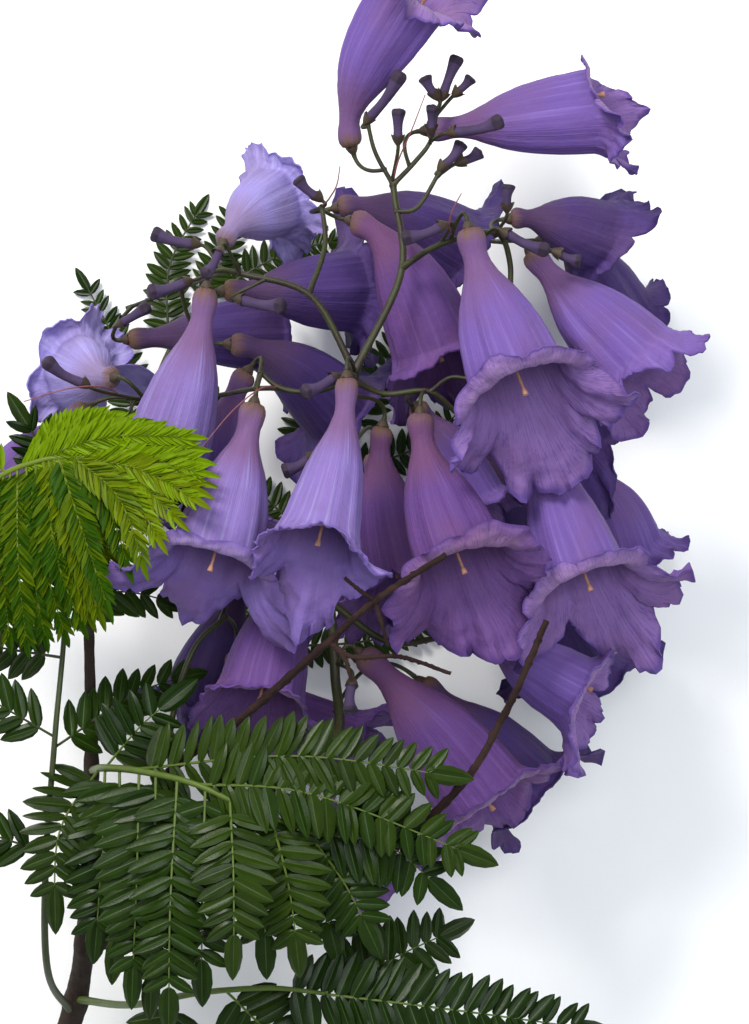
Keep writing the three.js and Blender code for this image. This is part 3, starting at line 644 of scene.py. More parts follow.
MATURE_TINTS = [
    ((0.0055, 0.0165, 0.0008), (0.0140, 0.032, 0.0015)),
    ((0.0034, 0.0105, 0.0006), (0.0080, 0.022, 0.0012)),
    ((0.0092, 0.0215, 0.0009), (0.0200, 0.039, 0.0016)),
    ((0.0066, 0.0155, 0.0014), (0.0170, 0.032, 0.0030)),
]
YOUNG_TINTS = [  # yellower and lighter from one to the next, painted light for the blades further up in the sun
    ((0.014, 0.044, 0.0005), (0.026, 0.070, 0.001)),
    ((0.044, 0.078, 0.0005), (0.072, 0.112, 0.001)),
    ((0.074, 0.110, 0.0005), (0.114, 0.152, 0.001)),
    ((0.088, 0.154, 0.0005), (0.132, 0.212, 0.001)),
]
YOUNG_TINTS_FROM = -32  # where the lowest one ends, and how much further up each of the others starts
YOUNG_TINTS_RISE = 13
mature_midrib = rib_finish("mature_midrib", (0.015, 0.036, 0.005), (0.033, 0.064, 0.010))
mature_rib = rib_finish("mature_rib", (0.038, 0.068, 0.008), (0.085, 0.120, 0.018))
young_rib = rib_finish("young_midrib", (0.070, 0.110, 0.006), (0.125, 0.165, 0.012))
shaded_rib = rib_finish("shaded_rib", (0.018, 0.026, 0.008), (0.042, 0.054, 0.018))
RIB_FINISHES = dict(near=mature_rib, low=mature_rib, young=young_rib)
mature_finishes = leaflet_finishes("mature_leaflet", MATURE_TINTS, mature_midrib, 0.33, 0.13)
young_finishes = leaflet_finishes("young_leaflet", YOUNG_TINTS, young_rib, 0.5, 0.08)


def blade_between(blade, other, share, under):
    """A blade so far on the way from one to another, and under them"""
    at = blade[0] * (1 - share) + other[0] * share
    return (at, *(np.array(blade[1:]) * (1 - share) + np.array(other[1:]) * share - (0, 0, under)))


for leaf_number, (place, leaf) in enumerate(LEAVES.items()):
    young = leaf["leaflets"] == "young"
    slot = "young_leaf" if young else "mature_leaf"
    draw = random.Random(leaf_number)
    leaflets = Gathered()
    ribs = Gathered()
    stalk = through(leaf["stalk"], RIB_STEPS)
    add_limb(ribs, stalk, tapering(stalk, *LEAF_STALK_RADII), corners=8)
    blades = list(leaf["blades"])
    if "between" in leaf:
        row = [blades[number] for number in leaf["between"]["order"]]
        for blade, other in zip(row, row[1:]):
            for share in leaf["between"]["shares"]:
                blades.append(blade_between(blade, other, share, leaf["between"]["under"]))
    for at, *points in blades:
        if young:  # painted light: yellower and lighter, the further up and the more in the sun
            tint = (points[-1][1] - YOUNG_TINTS_FROM) / YOUNG_TINTS_RISE + draw.uniform(-0.6, 0.6)
            tint = int(np.clip(tint, 0, 3))
            tints = [2 * tint, 2 * tint, 2 * min(3, tint + 1)]
        else:
            tint = draw.randrange(4)
            tints = [2 * tint, 2 * tint, 2 * draw.randrange(4)]
        springing = stalk[round(at * RIB_STEPS)]
        add_side_rib(leaflets, ribs, LEAFLETS[leaf["leaflets"]], [springing, *points], tints, draw)
    finishes = young_finishes if young else mature_finishes
    leaflets.piece(f"leaflets_{place}", slot, [f"leaf_{place}"], finishes)
    ribs.piece(f"leaf_ribs_{place}", slot, [], [RIB_FINISHES.get(place, shaded_rib)])


# The flower stalk: smooth green to olive brown living twigs, a little swollen where they fork, that carry
# each bloom and bud on a thin stalk of its own. It springs from the woody stem.

# An axis is its radius at the foot and at the end, and the points that it passes. A bud is where its stalk
# springs, where its calyx is, and its tip.
AXES = [
    (
        1.5, 0.95, (-57.3, -64, 27), (-44, -60, 42), (-24, -57, 50), (-8, -46, 52), (-8, -32, 54),
        (-9, -14, 54), (-8, 4, 55), (-6, 18, 58), (-4, 28, 60),
    ),
    (0.9, 0.7, (-9, -18, 54), (3, -26, 52), (14, -25, 47)),
    (0.8, 0.6, (-40, -59.4, 43.4), (-41, -44, 45), (-36, -27, 45), (-30, -21, 42)),
    (0.95, 0.8, (-4, 28, 60), (5.4, 48.8, 58), (4, 62.4, 54), (3.6, 65.4, 53)),
    (0.6, 0.5, (3.6, 65.4, 53), (0, 72, 53), (-1.4, 77.4, 53)),
    (0.65, 0.5, (3.6, 65.4, 53), (8, 70, 53), (11, 74, 53), (12.5, 81, 52)),
    (0.6, 0.5, (4, 60, 55), (8, 60.5, 56), (13, 68, 55)),
    (
        0.8, 0.65, (5.4, 48.8, 58), (11, 52.4, 60), (16, 54.4, 60), (25, 55.4, 50), (27, 50, 48),
        (27, 43, 48),
    ),
    (0.9, 0.7, (-4, 28, 60), (-13.2, 43.4, 58), (-26, 47.4, 56), (-31, 48.5, 54)),
    (0.7, 0.55, (-13.2, 43.4, 58), (-10, 53.4, 52), (-10.6, 61.4, 48)),
    (0.6, 0.5, (-30, 48.2, 54), (-36, 46, 44), (-42, 44, 34), (-50, 41, 30)),
    (0.75, 0.6, (-4, 27, 60), (-12, 24, 62), (-19, 24.8, 61), (-23, 28, 60)),
    (0.65, 0.5, (-18.5, 24.7, 61), (-24, 24.6, 55), (-34, 23, 45), (-45, 22.4, 44), (-50, 22.8, 46)),
    (
        0.75, 0.6, (-4, 26, 59.8), (2, 23.6, 58), (11, 24, 59), (18.6, 18.4, 56), (27, 21, 51),
        (31, 23, 50),
    ),
    (0.55, 0.45, (11, 24, 59), (15, 26.8, 60), (19, 26.5, 61)),
]
BUDS = [
    ((-4, 27, 60), (-8, 26.8, 66), (-14.4, 23.6, 70)),
    ((-7, 10, 56), (-12.6, 11, 60), (-18.4, 8, 60)),
    ((-8, -30, 54), (-4.6, -34, 62), (-5, -40, 64)),
    ((-1.4, 77, 53), (-1.4, 78.5, 53), (5.4, 87.8, 56)),
    ((3.4, 66, 53), (4.6, 74.4, 57), (4.6, 80.4, 58)),
    ((11, 73.8, 53), (11.2, 76.4, 57), (11.4, 81, 59)),
    ((12.4, 80.5, 52), (12, 83.4, 53), (9.8, 87, 54)),
    ((12.4, 80.5, 52), (13.6, 83.4, 51), (16.6, 91.2, 51)),
    ((12, 79, 52), (16.4, 84, 50), (19.4, 87, 50)),
    ((11, 74, 53), (15.4, 75.8, 58), (25.4, 78, 60)),
    ((13, 67.8, 55), (13.4, 69, 55), (17.4, 73.8, 54)),
    ((12.5, 67, 55), (17, 70, 52), (21, 72, 50)),
    ((24, 55.5, 51), (26.4, 61, 54), (26.6, 65.4, 55)),
    ((13, 53.4, 60), (13.4, 57, 64), (5.4, 54.4, 66)),
    ((22, 55.4, 54), (26, 55.8, 58), (34.6, 52, 60)),
    ((25, 55.4, 50), (36.4, 51.8, 55), (41, 50, 55)),
    ((-10.6, 61, 48), (-11.4, 63, 50), (-15.6, 66.8, 51)),
    ((-30.6, 48.4, 54), (-36, 53.6, 52), (-44.6, 55.8, 52)),
    ((-31, 48.4, 54), (-37.6, 46, 52), (-45.4, 43.8, 54)),
    ((-49, 41.4, 30.4), (-51, 38, 38), (-45.4, 41.4, 42)),
    ((-27, 47.6, 56), (-31, 52, 62), (-34, 47, 66)),
    ((-22, 46.4, 57), (-27, 42.4, 58), (-18, 41, 62)),
    ((-47, 22.5, 44.6), (-58, 25.6, 54), (-66, 30.4, 56)),
    ((-48, 22.6, 45), (-52, 19, 54), (-60, 19, 57)),
]


class Bloom:
    """Where a bloom's stalk springs, where its tube starts, where its mouth is, how it leaves its stalk,
    and what isn't as usual"""

    size = 1
    turn = 0  # degrees from straight up to the near lip
    flare = 0.8  # how far its lobes bend back, against a full flower's
    fold = 150  # degrees that the near lip of a full flower bends back
    lobes = (1, 1, 1)  # how long the near, side and far lobes are, against the usual
    pointed = 0.45  # how sharp the tips of its lobes are
    notch = 0.42  # length of its mouth at a notch, against a lobe's length
    slim = 0  # how much narrower its tube is
    petal = "violet"

    def __init__(self, springs, base, mouth, leave, **unusual):
        self.springs = springs
        self.base = base
        self.mouth = mouth
        self.leave = unit(np.array(leave, float))
        vars(self).update(unusual)


BLOOMS = dict(
    front_left=Bloom(
        (-22.6, 27.7, 60.2), (-24, 22, 64), (-32, -9, 70), (-0.2, -1, 0.1), size=1.08, flare=1,
        petal="lit",
    ),
    front_middle=Bloom(
        (-4, 28, 60), (-5.6, 27, 71), (-11, -5, 84), (0, -1, 0.1), flare=0.9, petal="lit", slim=0.14,
        lobes=(1.2, 0.5, 0.95), fold=48,
    ),
    front_right=Bloom(
        (10, 24, 59), (9, 20, 64), (17, -10, 72), (0, -1, 0), size=1.08, flare=1, petal="mauve",
        lobes=(1, 1, 1.3),
    ),
    front_high=Bloom((15, 54, 60), (18.6, 56.8, 68), (29, 25.4, 78), (0.2, -1, 0.1), size=1.16, flare=1),
    front_far_right=Bloom(
        (30.4, 22.7, 50), (33.5, 19, 55), (42, -13, 60), (0, -1, 0), size=1.04, flare=1,
    ),
    front_foot=Bloom(
        (-8, -36, 53.5), (-3, -28, 52), (21, -56, 48), (0.7, -0.6, 0.1), size=1.15, petal="mauve",
    ),
    left_high=Bloom((-29, 48, 55), (-33.6, 45, 58), (-42, 11, 56), (-0.1, -1, 0.1), petal="lit"),
    left_end=Bloom((-48, 22.6, 45), (-57.4, 21, 46), (-75, 1, 38), (-0.8, -0.5, 0), size=0.95),
    left_star=Bloom(
        (-46, 22.4, 44.3), (-52, 27, 45), (-60, 28, 20), (-0.5, 0, -0.8), size=0.9, petal="pale",
        lobes=(1.3, 1.3, 1.3), pointed=1.2, notch=0.25,
    ),
    left_low=Bloom((-24, 24.6, 55), (-25.4, 28.4, 43), (-31, 2, 38), (-0.6, -0.8, 0), size=0.95),
    left_back=Bloom(
        (-49, 41.4, 30.4), (-50, 34.8, 24), (-22, 36, 13), (1, 0.1, 0.2), size=0.9, petal="painted_shade",
    ),
    pale_high=Bloom(
        (-30.5, 48.4, 54), (-30.6, 53.8, 46), (-21, 62.5, 23), (0.3, 0.5, -0.6), size=0.85, flare=0.7,
        petal="pale",
    ),
    dark_left=Bloom((-35, 46.4, 46), (-30.6, 44.4, 40), (-6, 45, 26), (1, 0, 0), size=0.95, petal="painted_shade"),
    dark_middle=Bloom((-39, 45, 39), (-29.4, 33.8, 34), (-8, 21, 18), (1, 0, 0), size=0.95, petal="painted_shade"),
    top=Bloom(
        (2, 68.5, 53), (-4.6, 72.8, 46), (6, 102, 50), (-0.3, 1, 0.1), size=0.95, turn=60,
        lobes=(2.3, 1, 1), fold=125,
    ),
    top_right=Bloom(
        (7, 69, 53), (10, 76.4, 46), (43, 80, 46), (1, 0.1, 0.1), size=0.98, turn=-70,
        lobes=(0.85, 0.85, 0.4),
    ),
    arching=Bloom(
        (-10.6, 60.6, 48.4), (-5, 58.4, 46), (12, 34, 44), (1, -0.2, 0.3), size=1.05, flare=0.5,
        petal="mauve",
    ),
    behind_neck=Bloom(
        (-10.6, 61, 48), (-7.8, 61.2, 33), (16, 54, 20), (1, 0.2, 0), size=0.95, flare=0.7, petal="painted_shade",
    ),
    right_large=Bloom(
        (26, 54.5, 49), (31, 52.4, 46), (51.6, 30.6, 49.8), (0.6, -0.8, 0.1), size=1.05, turn=-40,
        lobes=(1.9, 0.65, 0.65), fold=38,
    ),
    right_high=Bloom(
        (24, 55.4, 51), (27, 58.8, 43), (44, 55.8, 32.6), (1, 0.1, 0), size=0.85, turn=60, flare=0.5,
        petal="painted_shade", lobes=(0.75, 0.75, 0.75),
    ),
    right_back=Bloom(
        (26, 54, 48.5), (33.4, 54.8, 20), (48.8, 40.6, 3.6), (1, 0, 0), size=0.9, turn=-60, flare=0.5,
        petal="painted_shade",
    ),
    right_open=Bloom(
        (27, 43.4, 48), (29.5, 33.5, 41), (43.5, 17, 33.6), (0.5, -0.9, 0), turn=-60, flare=0.55,
        petal="painted_shade",
    ),
    right_low=Bloom(
        (28, 21.6, 50.6), (38.4, 7.8, 20), (49.5, -6.2, 6.2), (1, 0, 0), size=0.94, flare=0.7,
    ),
    inner_blue=Bloom((-7, 8, 55.5), (0, 12, 36), (1, -14, 30), (0, -1, 0), size=0.95),
    inner_long=Bloom(
        (-5, 23, 59), (1.6, 17.4, 52), (4, -10, 51), (-0.2, -1, 0), size=0.9, flare=0.45, petal="mauve",
    ),
    inner_round=Bloom((8, 23.8, 58.7), (8, 21, 47), (19, 3, 40), (0.5, -0.3, -0.8), size=0.85, flare=0.6),
    inner_dark=Bloom(
        (19, 18.3, 55.6), (24, 17, 30), (27, -9, 17), (0, -1, 0), size=0.9, flare=0.6, petal="painted_shade",
    ),
    low_right=Bloom((14, -25, 47), (20, -22, 46), (39.7, -35.4, 42), (0.7, -0.7, 0), size=0.88, turn=-30),
    low_right_back=Bloom(
        (13, -25.3, 47.4), (30, -8, 36), (40, -29, 19), (0.5, -0.9, 0), flare=0.7, petal="painted_shade",
    ),
    foot_back=Bloom((-8, -40, 53), (9, -34, 32), (29, -54, 20), (0.7, -0.6, 0), flare=0.7, petal="painted_shade"),
    low_left=Bloom(
        (-9, -4, 54.6), (-17, -10, 48), (-22.5, -35, 50), (-0.2, -1, 0), flare=0.6, petal="mauve",
    ),
    low_left_back=Bloom(
        (-31, -22, 42.7), (-27, -13, 26), (-34, -36, 21), (-0.2, -1, 0), size=0.95, flare=0.7,
        petal="painted_shade",
    ),
    low_hooked=Bloom(
        (-30, -21, 42), (-28, -28, 34), (-8, -47, 24), (-0.1, -1, 0.1), size=0.9, flare=0.6,
        petal="mauve",
    ),
    low_small=Bloom((-24, -57, 50), (-16, -58, 22), (-1, -74, 2), (0.6, -0.3, -0.7), size=0.8, flare=0.6),
)
AXIS_SLIMMER = 0.84  # against the radii in the table
AXIS_SWELLING = 0.3
BLOOM_STALK_RADIUS = 0.42
BLOOM_STALK_END = 1.25  # behind the foot of the tube
BUD_STALK_RADIUS = 0.38
OWN_STALK_SWELLING = 0.35  # of the stalk of a bloom or bud
SWOLLEN_END = 0.05  # against the length


def stalk_finish():
    finish = Finish("stalk_skin", roughness=0.5, specular=0.3)
    lines = finish.clouds(finish.stretched(finish.attribute("place"), (3, 3, 0.15)), 2, 3)
    patches = finish.step(finish.clouds(finish.place(), 150, 3), 0.42, 0.62)
    dots = finish.step(finish.clouds(finish.place(), 2200, 1), 0.62, 0.7)
    colour = finish.mix(lines, (0.009, 0.0095, 0.002), (0.032, 0.036, 0.005))
    colour = finish.mix(patches * 0.8, colour, (0.015, 0.009, 0.005))
    colour = finish.mix(dots * 0.6, colour, (0.055, 0.043, 0.022))
    return finish.coat(base_color=colour, normal=finish.bump(lines + dots, 0.35, 0.12))


def add_stalk(spine, radii, swelling, corners):
    """Adds a stalk that swells at both ends"""
    share = np.linspace(0, 1, len(spine))
    swollen = np.exp(-((share / SWOLLEN_END) ** 2)) + np.exp(-(((1 - share) / SWOLLEN_END) ** 2))
    add_limb(stalks, spine, radii * (1 + swelling * swollen), corners)


def bloom_stalk(bloom):
    """Places along the small stalk of a bloom, from where it springs to the back of the bloom's calyx"""
    start = np.array(bloom.springs, float)
    end = bloom.base - bloom.leave * BLOOM_STALK_END
    bend = end - bloom.leave * 0.45 * np.linalg.norm(end - start)
    share = np.linspace(0, 1, 20)[:, None]
    return start * (1 - share) ** 2 + 2 * bend * share * (1 - share) + end * share**2


def bud_heading(calyx, tip):
    return unit(np.array(tip, float) - calyx)


stalks = Gathered()
for foot, end, *points in AXES:
    spine = through(points, steps=14)
    add_stalk(spine, tapering(spine, foot, end) * AXIS_SLIMMER, AXIS_SWELLING, corners=10)
for bloom in BLOOMS.values():
    add_stalk(bloom_stalk(bloom), BLOOM_STALK_RADIUS, OWN_STALK_SWELLING, corners=8)
for springing, calyx, tip in BUDS:
    heading = bud_heading(calyx, tip)
    spine = through([springing, calyx - heading * 2, calyx - heading * 0.4], steps=10)
    add_stalk(spine, BUD_STALK_RADIUS, OWN_STALK_SWELLING, corners=8)
stalks.piece("flower_stalk_skin", "green_stalk", ["flower_stalk"], [stalk_finish()])


# Calyces: the small olive brown cup at the foot of each bloom and bud, with five blunt teeth. It is the end
# of the bloom's own stalk.
CALYX_OUTSIDE = [(0.5, 0), (0.74, 0.25), (1.15, 0.7), (1.55, 1.35), (1.86, 2.05), (1.98, 2.35)]
CALYX_INSIDE = [(1.8, 2.25), (1.4, 1.7), (0.8, 1.3)]
CALYX_CORNERS = 20
TOOTH = 0.22
TEETH_FROM = 1.3
FIVE_CORNERED = 0.05
BLOOM_CALYX = dict(behind=1.35, sizes=(0.66, 0.66, 0.72))  # its foot, and its sizes against the model
BUD_CALYX = dict(behind=1.3, sizes=(0.72, 0.72, 0.9))


def calyx_model():
    """A cup built up from a disc, extruded and scaled ring by ring, with its rim drawn out into teeth"""
    profile = CALYX_OUTSIDE + CALYX_INSIDE
    bpy.ops.object.select_all(action="DESELECT")
    bpy.ops.mesh.primitive_circle_add(vertices=CALYX_CORNERS, radius=profile[0][0], fill_type="NGON")
    model = bpy.context.object
    bpy.ops.object.mode_set(mode="EDIT")
    bpy.ops.mesh.select_all(action="SELECT")
    for (radius, height), (wide, high) in zip(profile, profile[1:]):
        bpy.ops.mesh.extrude_region_move(TRANSFORM_OT_translate={"value": (0, 0, high - height)})
        scale = wide / radius
        bpy.ops.transform.resize(value=(scale, scale, 1), center_override=(0, 0, high))
    bpy.ops.mesh.select_all(action="SELECT")
    bpy.ops.mesh.normals_make_consistent(inside=False)
    bpy.ops.object.mode_set(mode="OBJECT")
    points = np.array([vertex.co for vertex in model.data.vertices])
    faces = [list(face.vertices) for face in model.data.polygons]
    bpy.data.objects.remove(model)
    around = np.arctan2(points[:, 1], points[:, 0])
    points[:, 2] += TOOTH * np.clip(points[:, 2] - TEETH_FROM, 0, 1) * np.cos(5 * around)
    points[:, :2] *= (1 + FIVE_CORNERED * np.cos(5 * around))[:, None]
    return points, faces, np.zeros(len(faces), int)


def add_calyx(place, heading, behind, sizes):
    out = unit(np.cross(heading, np.eye(3)[np.argmin(np.abs(heading))]))
    side = np.cross(heading, out)
    add_copy(calyces, CALYX_MODEL, place - heading * behind, out, side, heading, sizes)


CALYX_MODEL = calyx_model()
calyces = Gathered()
for bloom in BLOOMS.values():
    add_calyx(bloom.base, bloom.leave, **BLOOM_CALYX)
for springing, calyx, tip in BUDS:
    add_calyx(calyx, bud_heading(calyx, tip), **BUD_CALYX)
calyx_skin = mottled_finish(
    "calyx_skin", (0.017, 0.010, 0.006), (0.056, 0.034, 0.018), mottle=(500, 4), fine=(3500, 1)
)
calyces.piece("calyces", "green_stalk", [], [calyx_skin])


# Buds: unopened blooms, each a downy grey violet sleeve that narrows above its foot and widens to a blunt
# dark five-cornered end, where the folded lobes meet. Each stands in its calyx.
BUD_PROFILE = [
    (0, 0.62), (0.04, 0.9), (0.1, 1.06), (0.2, 1.04), (0.32, 0.96), (0.48, 1.0), (0.62, 1.12), (0.74, 1.3),
    (0.84, 1.46), (0.92, 1.5), (0.97, 1.36), (1, 1.0),
]
BUD_DARK_FROM = 0.84
BUD_CORNERS = 20
BUD_ROWS = 28
BUD_SAG = 0.05  # against its length
BUD_IN_CALYX = 0.6
FOLDED_LOBES = 0.14  # how far they stand out, against the radius


def five_cornered(rows, around):
    at_end = np.clip((rows / rows[-1] - 0.62) / 0.3, 0, 1)
    return 1 + FOLDED_LOBES * at_end[:, None] * np.cos(5 * around)


def bud_finish(name, dark, light):
    return mottled_finish(name, dark, light, (260, 4), (3200, 1), roughness=0.75, specular=0.2)


buds = Gathered()
draw = random.Random(5)
for springing, calyx, tip in BUDS:
    calyx, tip = np.array(calyx, float), np.array(tip, float)
    length = np.linalg.norm(tip - calyx)
    sag = np.array([draw.uniform(-1, 1), -1, draw.uniform(-1, 1)]) * BUD_SAG * length
    curve = through([calyx - (tip - calyx) / length * BUD_IN_CALYX, (calyx + tip) / 2 + sag, tip], steps=60)
    share = np.linspace(0, 1, BUD_ROWS)
    spine = np.array([np.interp(share, np.linspace(0, 1, len(curve)), line) for line in curve.T]).T
    width = draw.uniform(0.92, 1.08) * min(1.05, 0.74 + length / 34)
    radii = np.interp(share, *zip(*BUD_PROFILE)) * width
    dark = (share[1:] > BUD_DARK_FROM).astype(int)
    add_limb(buds, spine, radii, BUD_CORNERS, kinds=(0, dark, 1), relief=five_cornered)
bud_sleeve = bud_finish("bud_sleeve", (0.025, 0.015, 0.042), (0.066, 0.042, 0.098))
bud_end = bud_finish("bud_end", (0.014, 0.009, 0.018), (0.040, 0.026, 0.048))
buds.piece("buds", "green_stalk", [], [bud_sleeve, bud_end])


# Blooms: each a trumpet in one piece, a narrow bent neck that swells to a wide flattened tube with long
# pleats, and five ruffled lobes: two short ones folded back over the near lip, one to either side, and one
# that hangs. The petal is thin and veined, brown at its foot and pink on the neck. Each sits in a calyx.
BLOOM_WIDTH = 17
FLATTENED = 0.86
FIRST_WAY, LAST_WAY = 0.3, 0.35  # how far a tube keeps its first and last direction, against its length
TUBE_PROFILE = [
    (0, 0.05), (0.006, 0.14), (0.02, 0.22), (0.045, 0.28), (0.08, 0.305), (0.13, 0.285), (0.19, 0.25),
    (0.25, 0.285), (0.32, 0.37), (0.40, 0.51), (0.50, 0.67), (0.60, 0.79), (0.70, 0.87), (0.82, 0.94),
    (0.92, 0.975), (1, 1),
]
PLEATS = ((3, 0.035), (5, 0.030), (8, 0.020), (13, 0.010))  # how many round the tube, and their depth
LOBE_LENGTHS = (4.7, 13.5, 16.5)  # of the near, side and far ones
SIDE_BEND, FAR_BEND = 84, 50  # degrees that these lobes of a full flower bend out
FIRST_BEND = 12  # degrees, where the tube ends
OWN = dict(place=0.5, length=0.7, bend=50)  # how far chance moves, lengthens and bends a lobe
RAGS = ((0.20, 4.5), (0.06, 13))  # their depth against a lobe's length, and how close round the mouth
RUFFLES = ((1.6, 50), (3.2, 38), (7, 20))  # how close they are round the mouth, and how far they turn it
FRILLS = (12, 46)  # as much, for the small ones at the very edge
FRILLS_FROM = 0.65  # along a lobe
NEAR_LIP_CALM = 0.5  # how much less it is ruffled
CURL, NEAR_CURL = 1.25, 1.3  # how soon a lobe bends, and how much sooner the near lip does
DENTS = ((1, 0.33), (0.5, 0.8))  # how strong and how fine they are
DENT_DEPTH, EDGE_DENT_DEPTH = 0.12, 0.45  # of the whole petal, and how much more at its edge
PETAL_THICKNESS = 0.32
NEAR_CORNERS = 136
DEEP_CORNERS = 90  # of the blooms that lie far in among the others, whose petals take the painted shade colours
TUBE_ROWS = 28
LOBE_ROWS = 20
SETTLING = 3  # the height over the table under which a petal is pressed up


def smooth(share):
    share = np.clip(share, 0, 1)
    return share * share * (3 - 2 * share)


def from_near_lip(around):
    """How far round from the middle of the near lip, 1 being the middle of the far lobe"""
    return np.arccos(np.cos(around)) / math.pi


def by_angle(values, around):
    """A value that goes from near to side to far, by how far round from the near lip"""
    near, side, far = values
    past_side = (from_near_lip(around) - 0.6) / 0.4
    before_side = near + (side - near) * smooth(1 + past_side)
    return np.where(past_side < 0, before_side, side + (far - side) * past_side)


FINE = np.linspace(0, 1, 401)
bell = np.hanning(23) / np.hanning(23).sum()
FINE_PROFILE = np.convolve(np.pad(np.interp(FINE, *zip(*TUBE_PROFILE)), 11, "edge"), bell, "valid")
FINE_PROFILE[:14] = np.interp(FINE[:14], *zip(*TUBE_PROFILE))  # the foot keeps its own


def bloom_spine(bloom, share):
    """Places along the middle of a bloom's tube, and the frames across it"""
    start, mouth = np.array(bloom.base, float), np.array(bloom.mouth, float)
    reach = np.linalg.norm(mouth - start)
    first = start + bloom.leave * reach * FIRST_WAY
    second = mouth - unit(mouth - first) * reach * LAST_WAY
    share = share[:, None]
    rest = 1 - share
    centre = start * rest**3 + 3 * first * rest**2 * share + 3 * second * rest * share**2 + mouth * share**3
    legs = (first - start, second - first, mouth - second)
    ahead = unit(legs[0] * rest**2 + 2 * legs[1] * rest * share + legs[2] * share**2)
    return centre, ahead, *upright(ahead)


def tube_rings(bloom, around, share, draw):
    """Rings of the outside of a bloom's tube"""
    radius = np.interp(share, FINE, FINE_PROFILE) * BLOOM_WIDTH * bloom.size / 2
    radius *= 1 - bloom.slim * np.sin(np.pi * share) ** 0.5
    pleats = sum(
        depth * np.sin(count * around + draw.uniform(0, 6.3) + 1.2 * share[:, None] * draw.uniform(-1, 1))
        for count, depth in PLEATS
    )
    radius = radius[:, None] * (1 + smooth((share - 0.25) / 0.5)[:, None] * pleats)
    centre, _, out, side = bloom_spine(bloom, share)
    angle = (around + math.radians(bloom.turn))[:, None]
    away = out[:, None] * np.cos(angle) * FLATTENED + side[:, None] * np.sin(angle)
    return centre[:, None] + away * radius[..., None]


def lobe_rings(bloom, around, mouth, steps, draw):
    """Rings of the outside of a bloom's lobes, from its mouth, the last ring of the tube"""
    seed = draw.uniform(0, 50)
    own_length, own_bend = wander(around, [seed, seed + 9], 1.1)
    own_place = wander(around, [seed + 20], 1.4)[0]
    lobe = np.abs(np.sin(2.5 * (around + OWN["place"] * own_place))) ** bloom.pointed
    ragged = sum(depth * wander(around, [seed], grain)[0] for depth, grain in RAGS)
    length = by_angle(LOBE_LENGTHS, around) * by_angle(bloom.lobes, around) * bloom.size
    length *= (bloom.notch + (1 - bloom.notch) * lobe) * (1 + ragged * lobe)
    length *= 1 + OWN["length"] * own_length
    first_bend = math.radians(FIRST_BEND)
    last_bend = by_angle((bloom.fold, SIDE_BEND, FAR_BEND), around) + OWN["bend"] * own_bend
    last_bend = np.radians(last_bend) * bloom.flare
    near = smooth(1 - (from_near_lip(around) - 0.15) / 0.3)
    bend = first_bend + (last_bend - first_bend) * (1 - (1 - steps) ** (CURL + NEAR_CURL * near))
    heights = seed + steps[:, 0] * 0.8
    ruffles = sum(math.radians(turn) * wander(around, heights, grain) for grain, turn in RUFFLES)
    frills = math.radians(FRILLS[1]) * wander(around, heights, FRILLS[0])
    frills *= smooth((steps - FRILLS_FROM) / 0.3)
    bend += (ruffles * steps**1.2 + frills) * (1 - NEAR_LIP_CALM * near)
    _, ahead, out, side = bloom_spine(bloom, np.ones(1))
    angle = (around + math.radians(bloom.turn))[:, None]
    away = out[0] * np.cos(angle) + side[0] * np.sin(angle)
    headings = away * np.sin(bend)[..., None] + ahead[0] * np.cos(bend)[..., None]
    return mouth + np.cumsum(headings * (length / LOBE_ROWS)[:, None], axis=0)


def crumpled(rings, along, seed):
    """The rings with the unevenness of a thin petal, most at its edge, and the directions out of them"""
    across_sheet = np.roll(rings, -1, 1) - np.roll(rings, 1, 1)
    along_sheet = np.gradient(rings, axis=0)
    normal = unit(np.cross(across_sheet, along_sheet) + 1e-9)
    dents = sum(
        strength * np.array([[noise.noise(Vector(p * grain) + seed) for p in ring] for ring in rings])
        for strength, grain in DENTS
    )
    depth = DENT_DEPTH + EDGE_DENT_DEPTH * smooth((along - 0.8) / 0.8)
    return rings + normal * (dents * depth[:, None])[..., None], normal


def settled(points):
    """points, with what would sink into the table flattened onto it"""
    height = points[..., 2] - TABLE
    pressed = SETTLING * np.exp(height / SETTLING - 1)
    points[..., 2] = TABLE + np.where(height < SETTLING, pressed, height)
    return points


def bloom_piece(name, bloom, finish):
    draw = random.Random(name)
    corners = DEEP_CORNERS if bloom.petal == "painted_shade" else NEAR_CORNERS
    share = np.linspace(0, 1, TUBE_ROWS) ** 1.15  # closer at the foot
    tube = tube_rings(bloom, turns(corners), share, draw)
    steps = np.linspace(0, 1, LOBE_ROWS + 1)[1:, None]
    lobes = lobe_rings(bloom, turns(corners), tube[-1], steps, draw)
    along = np.concatenate([share, 1 + steps[:, 0]])
    seed = Vector((draw.uniform(0, 90), 0, 0))
    rings, normal = crumpled(np.concatenate([tube, lobes]), along, seed)
    inner = rings - normal * PETAL_THICKNESS
    skin = settled(np.concatenate([rings, inner[::-1]]))
    petals = Gathered()
    add_rings(petals, rings[0].mean(0), skin, inner[0].mean(0), np.concatenate([along, along[::-1]]))
    piece = petals.piece(f"petals_{name}", "petal", [f"bloom_{name}"], [finish])
    inside = np.repeat([0.0, 1.0], 1 + len(rings) * corners)
    piece.data.attributes.new("inside", "FLOAT", "POINT").data.foreach_set("value", inside)


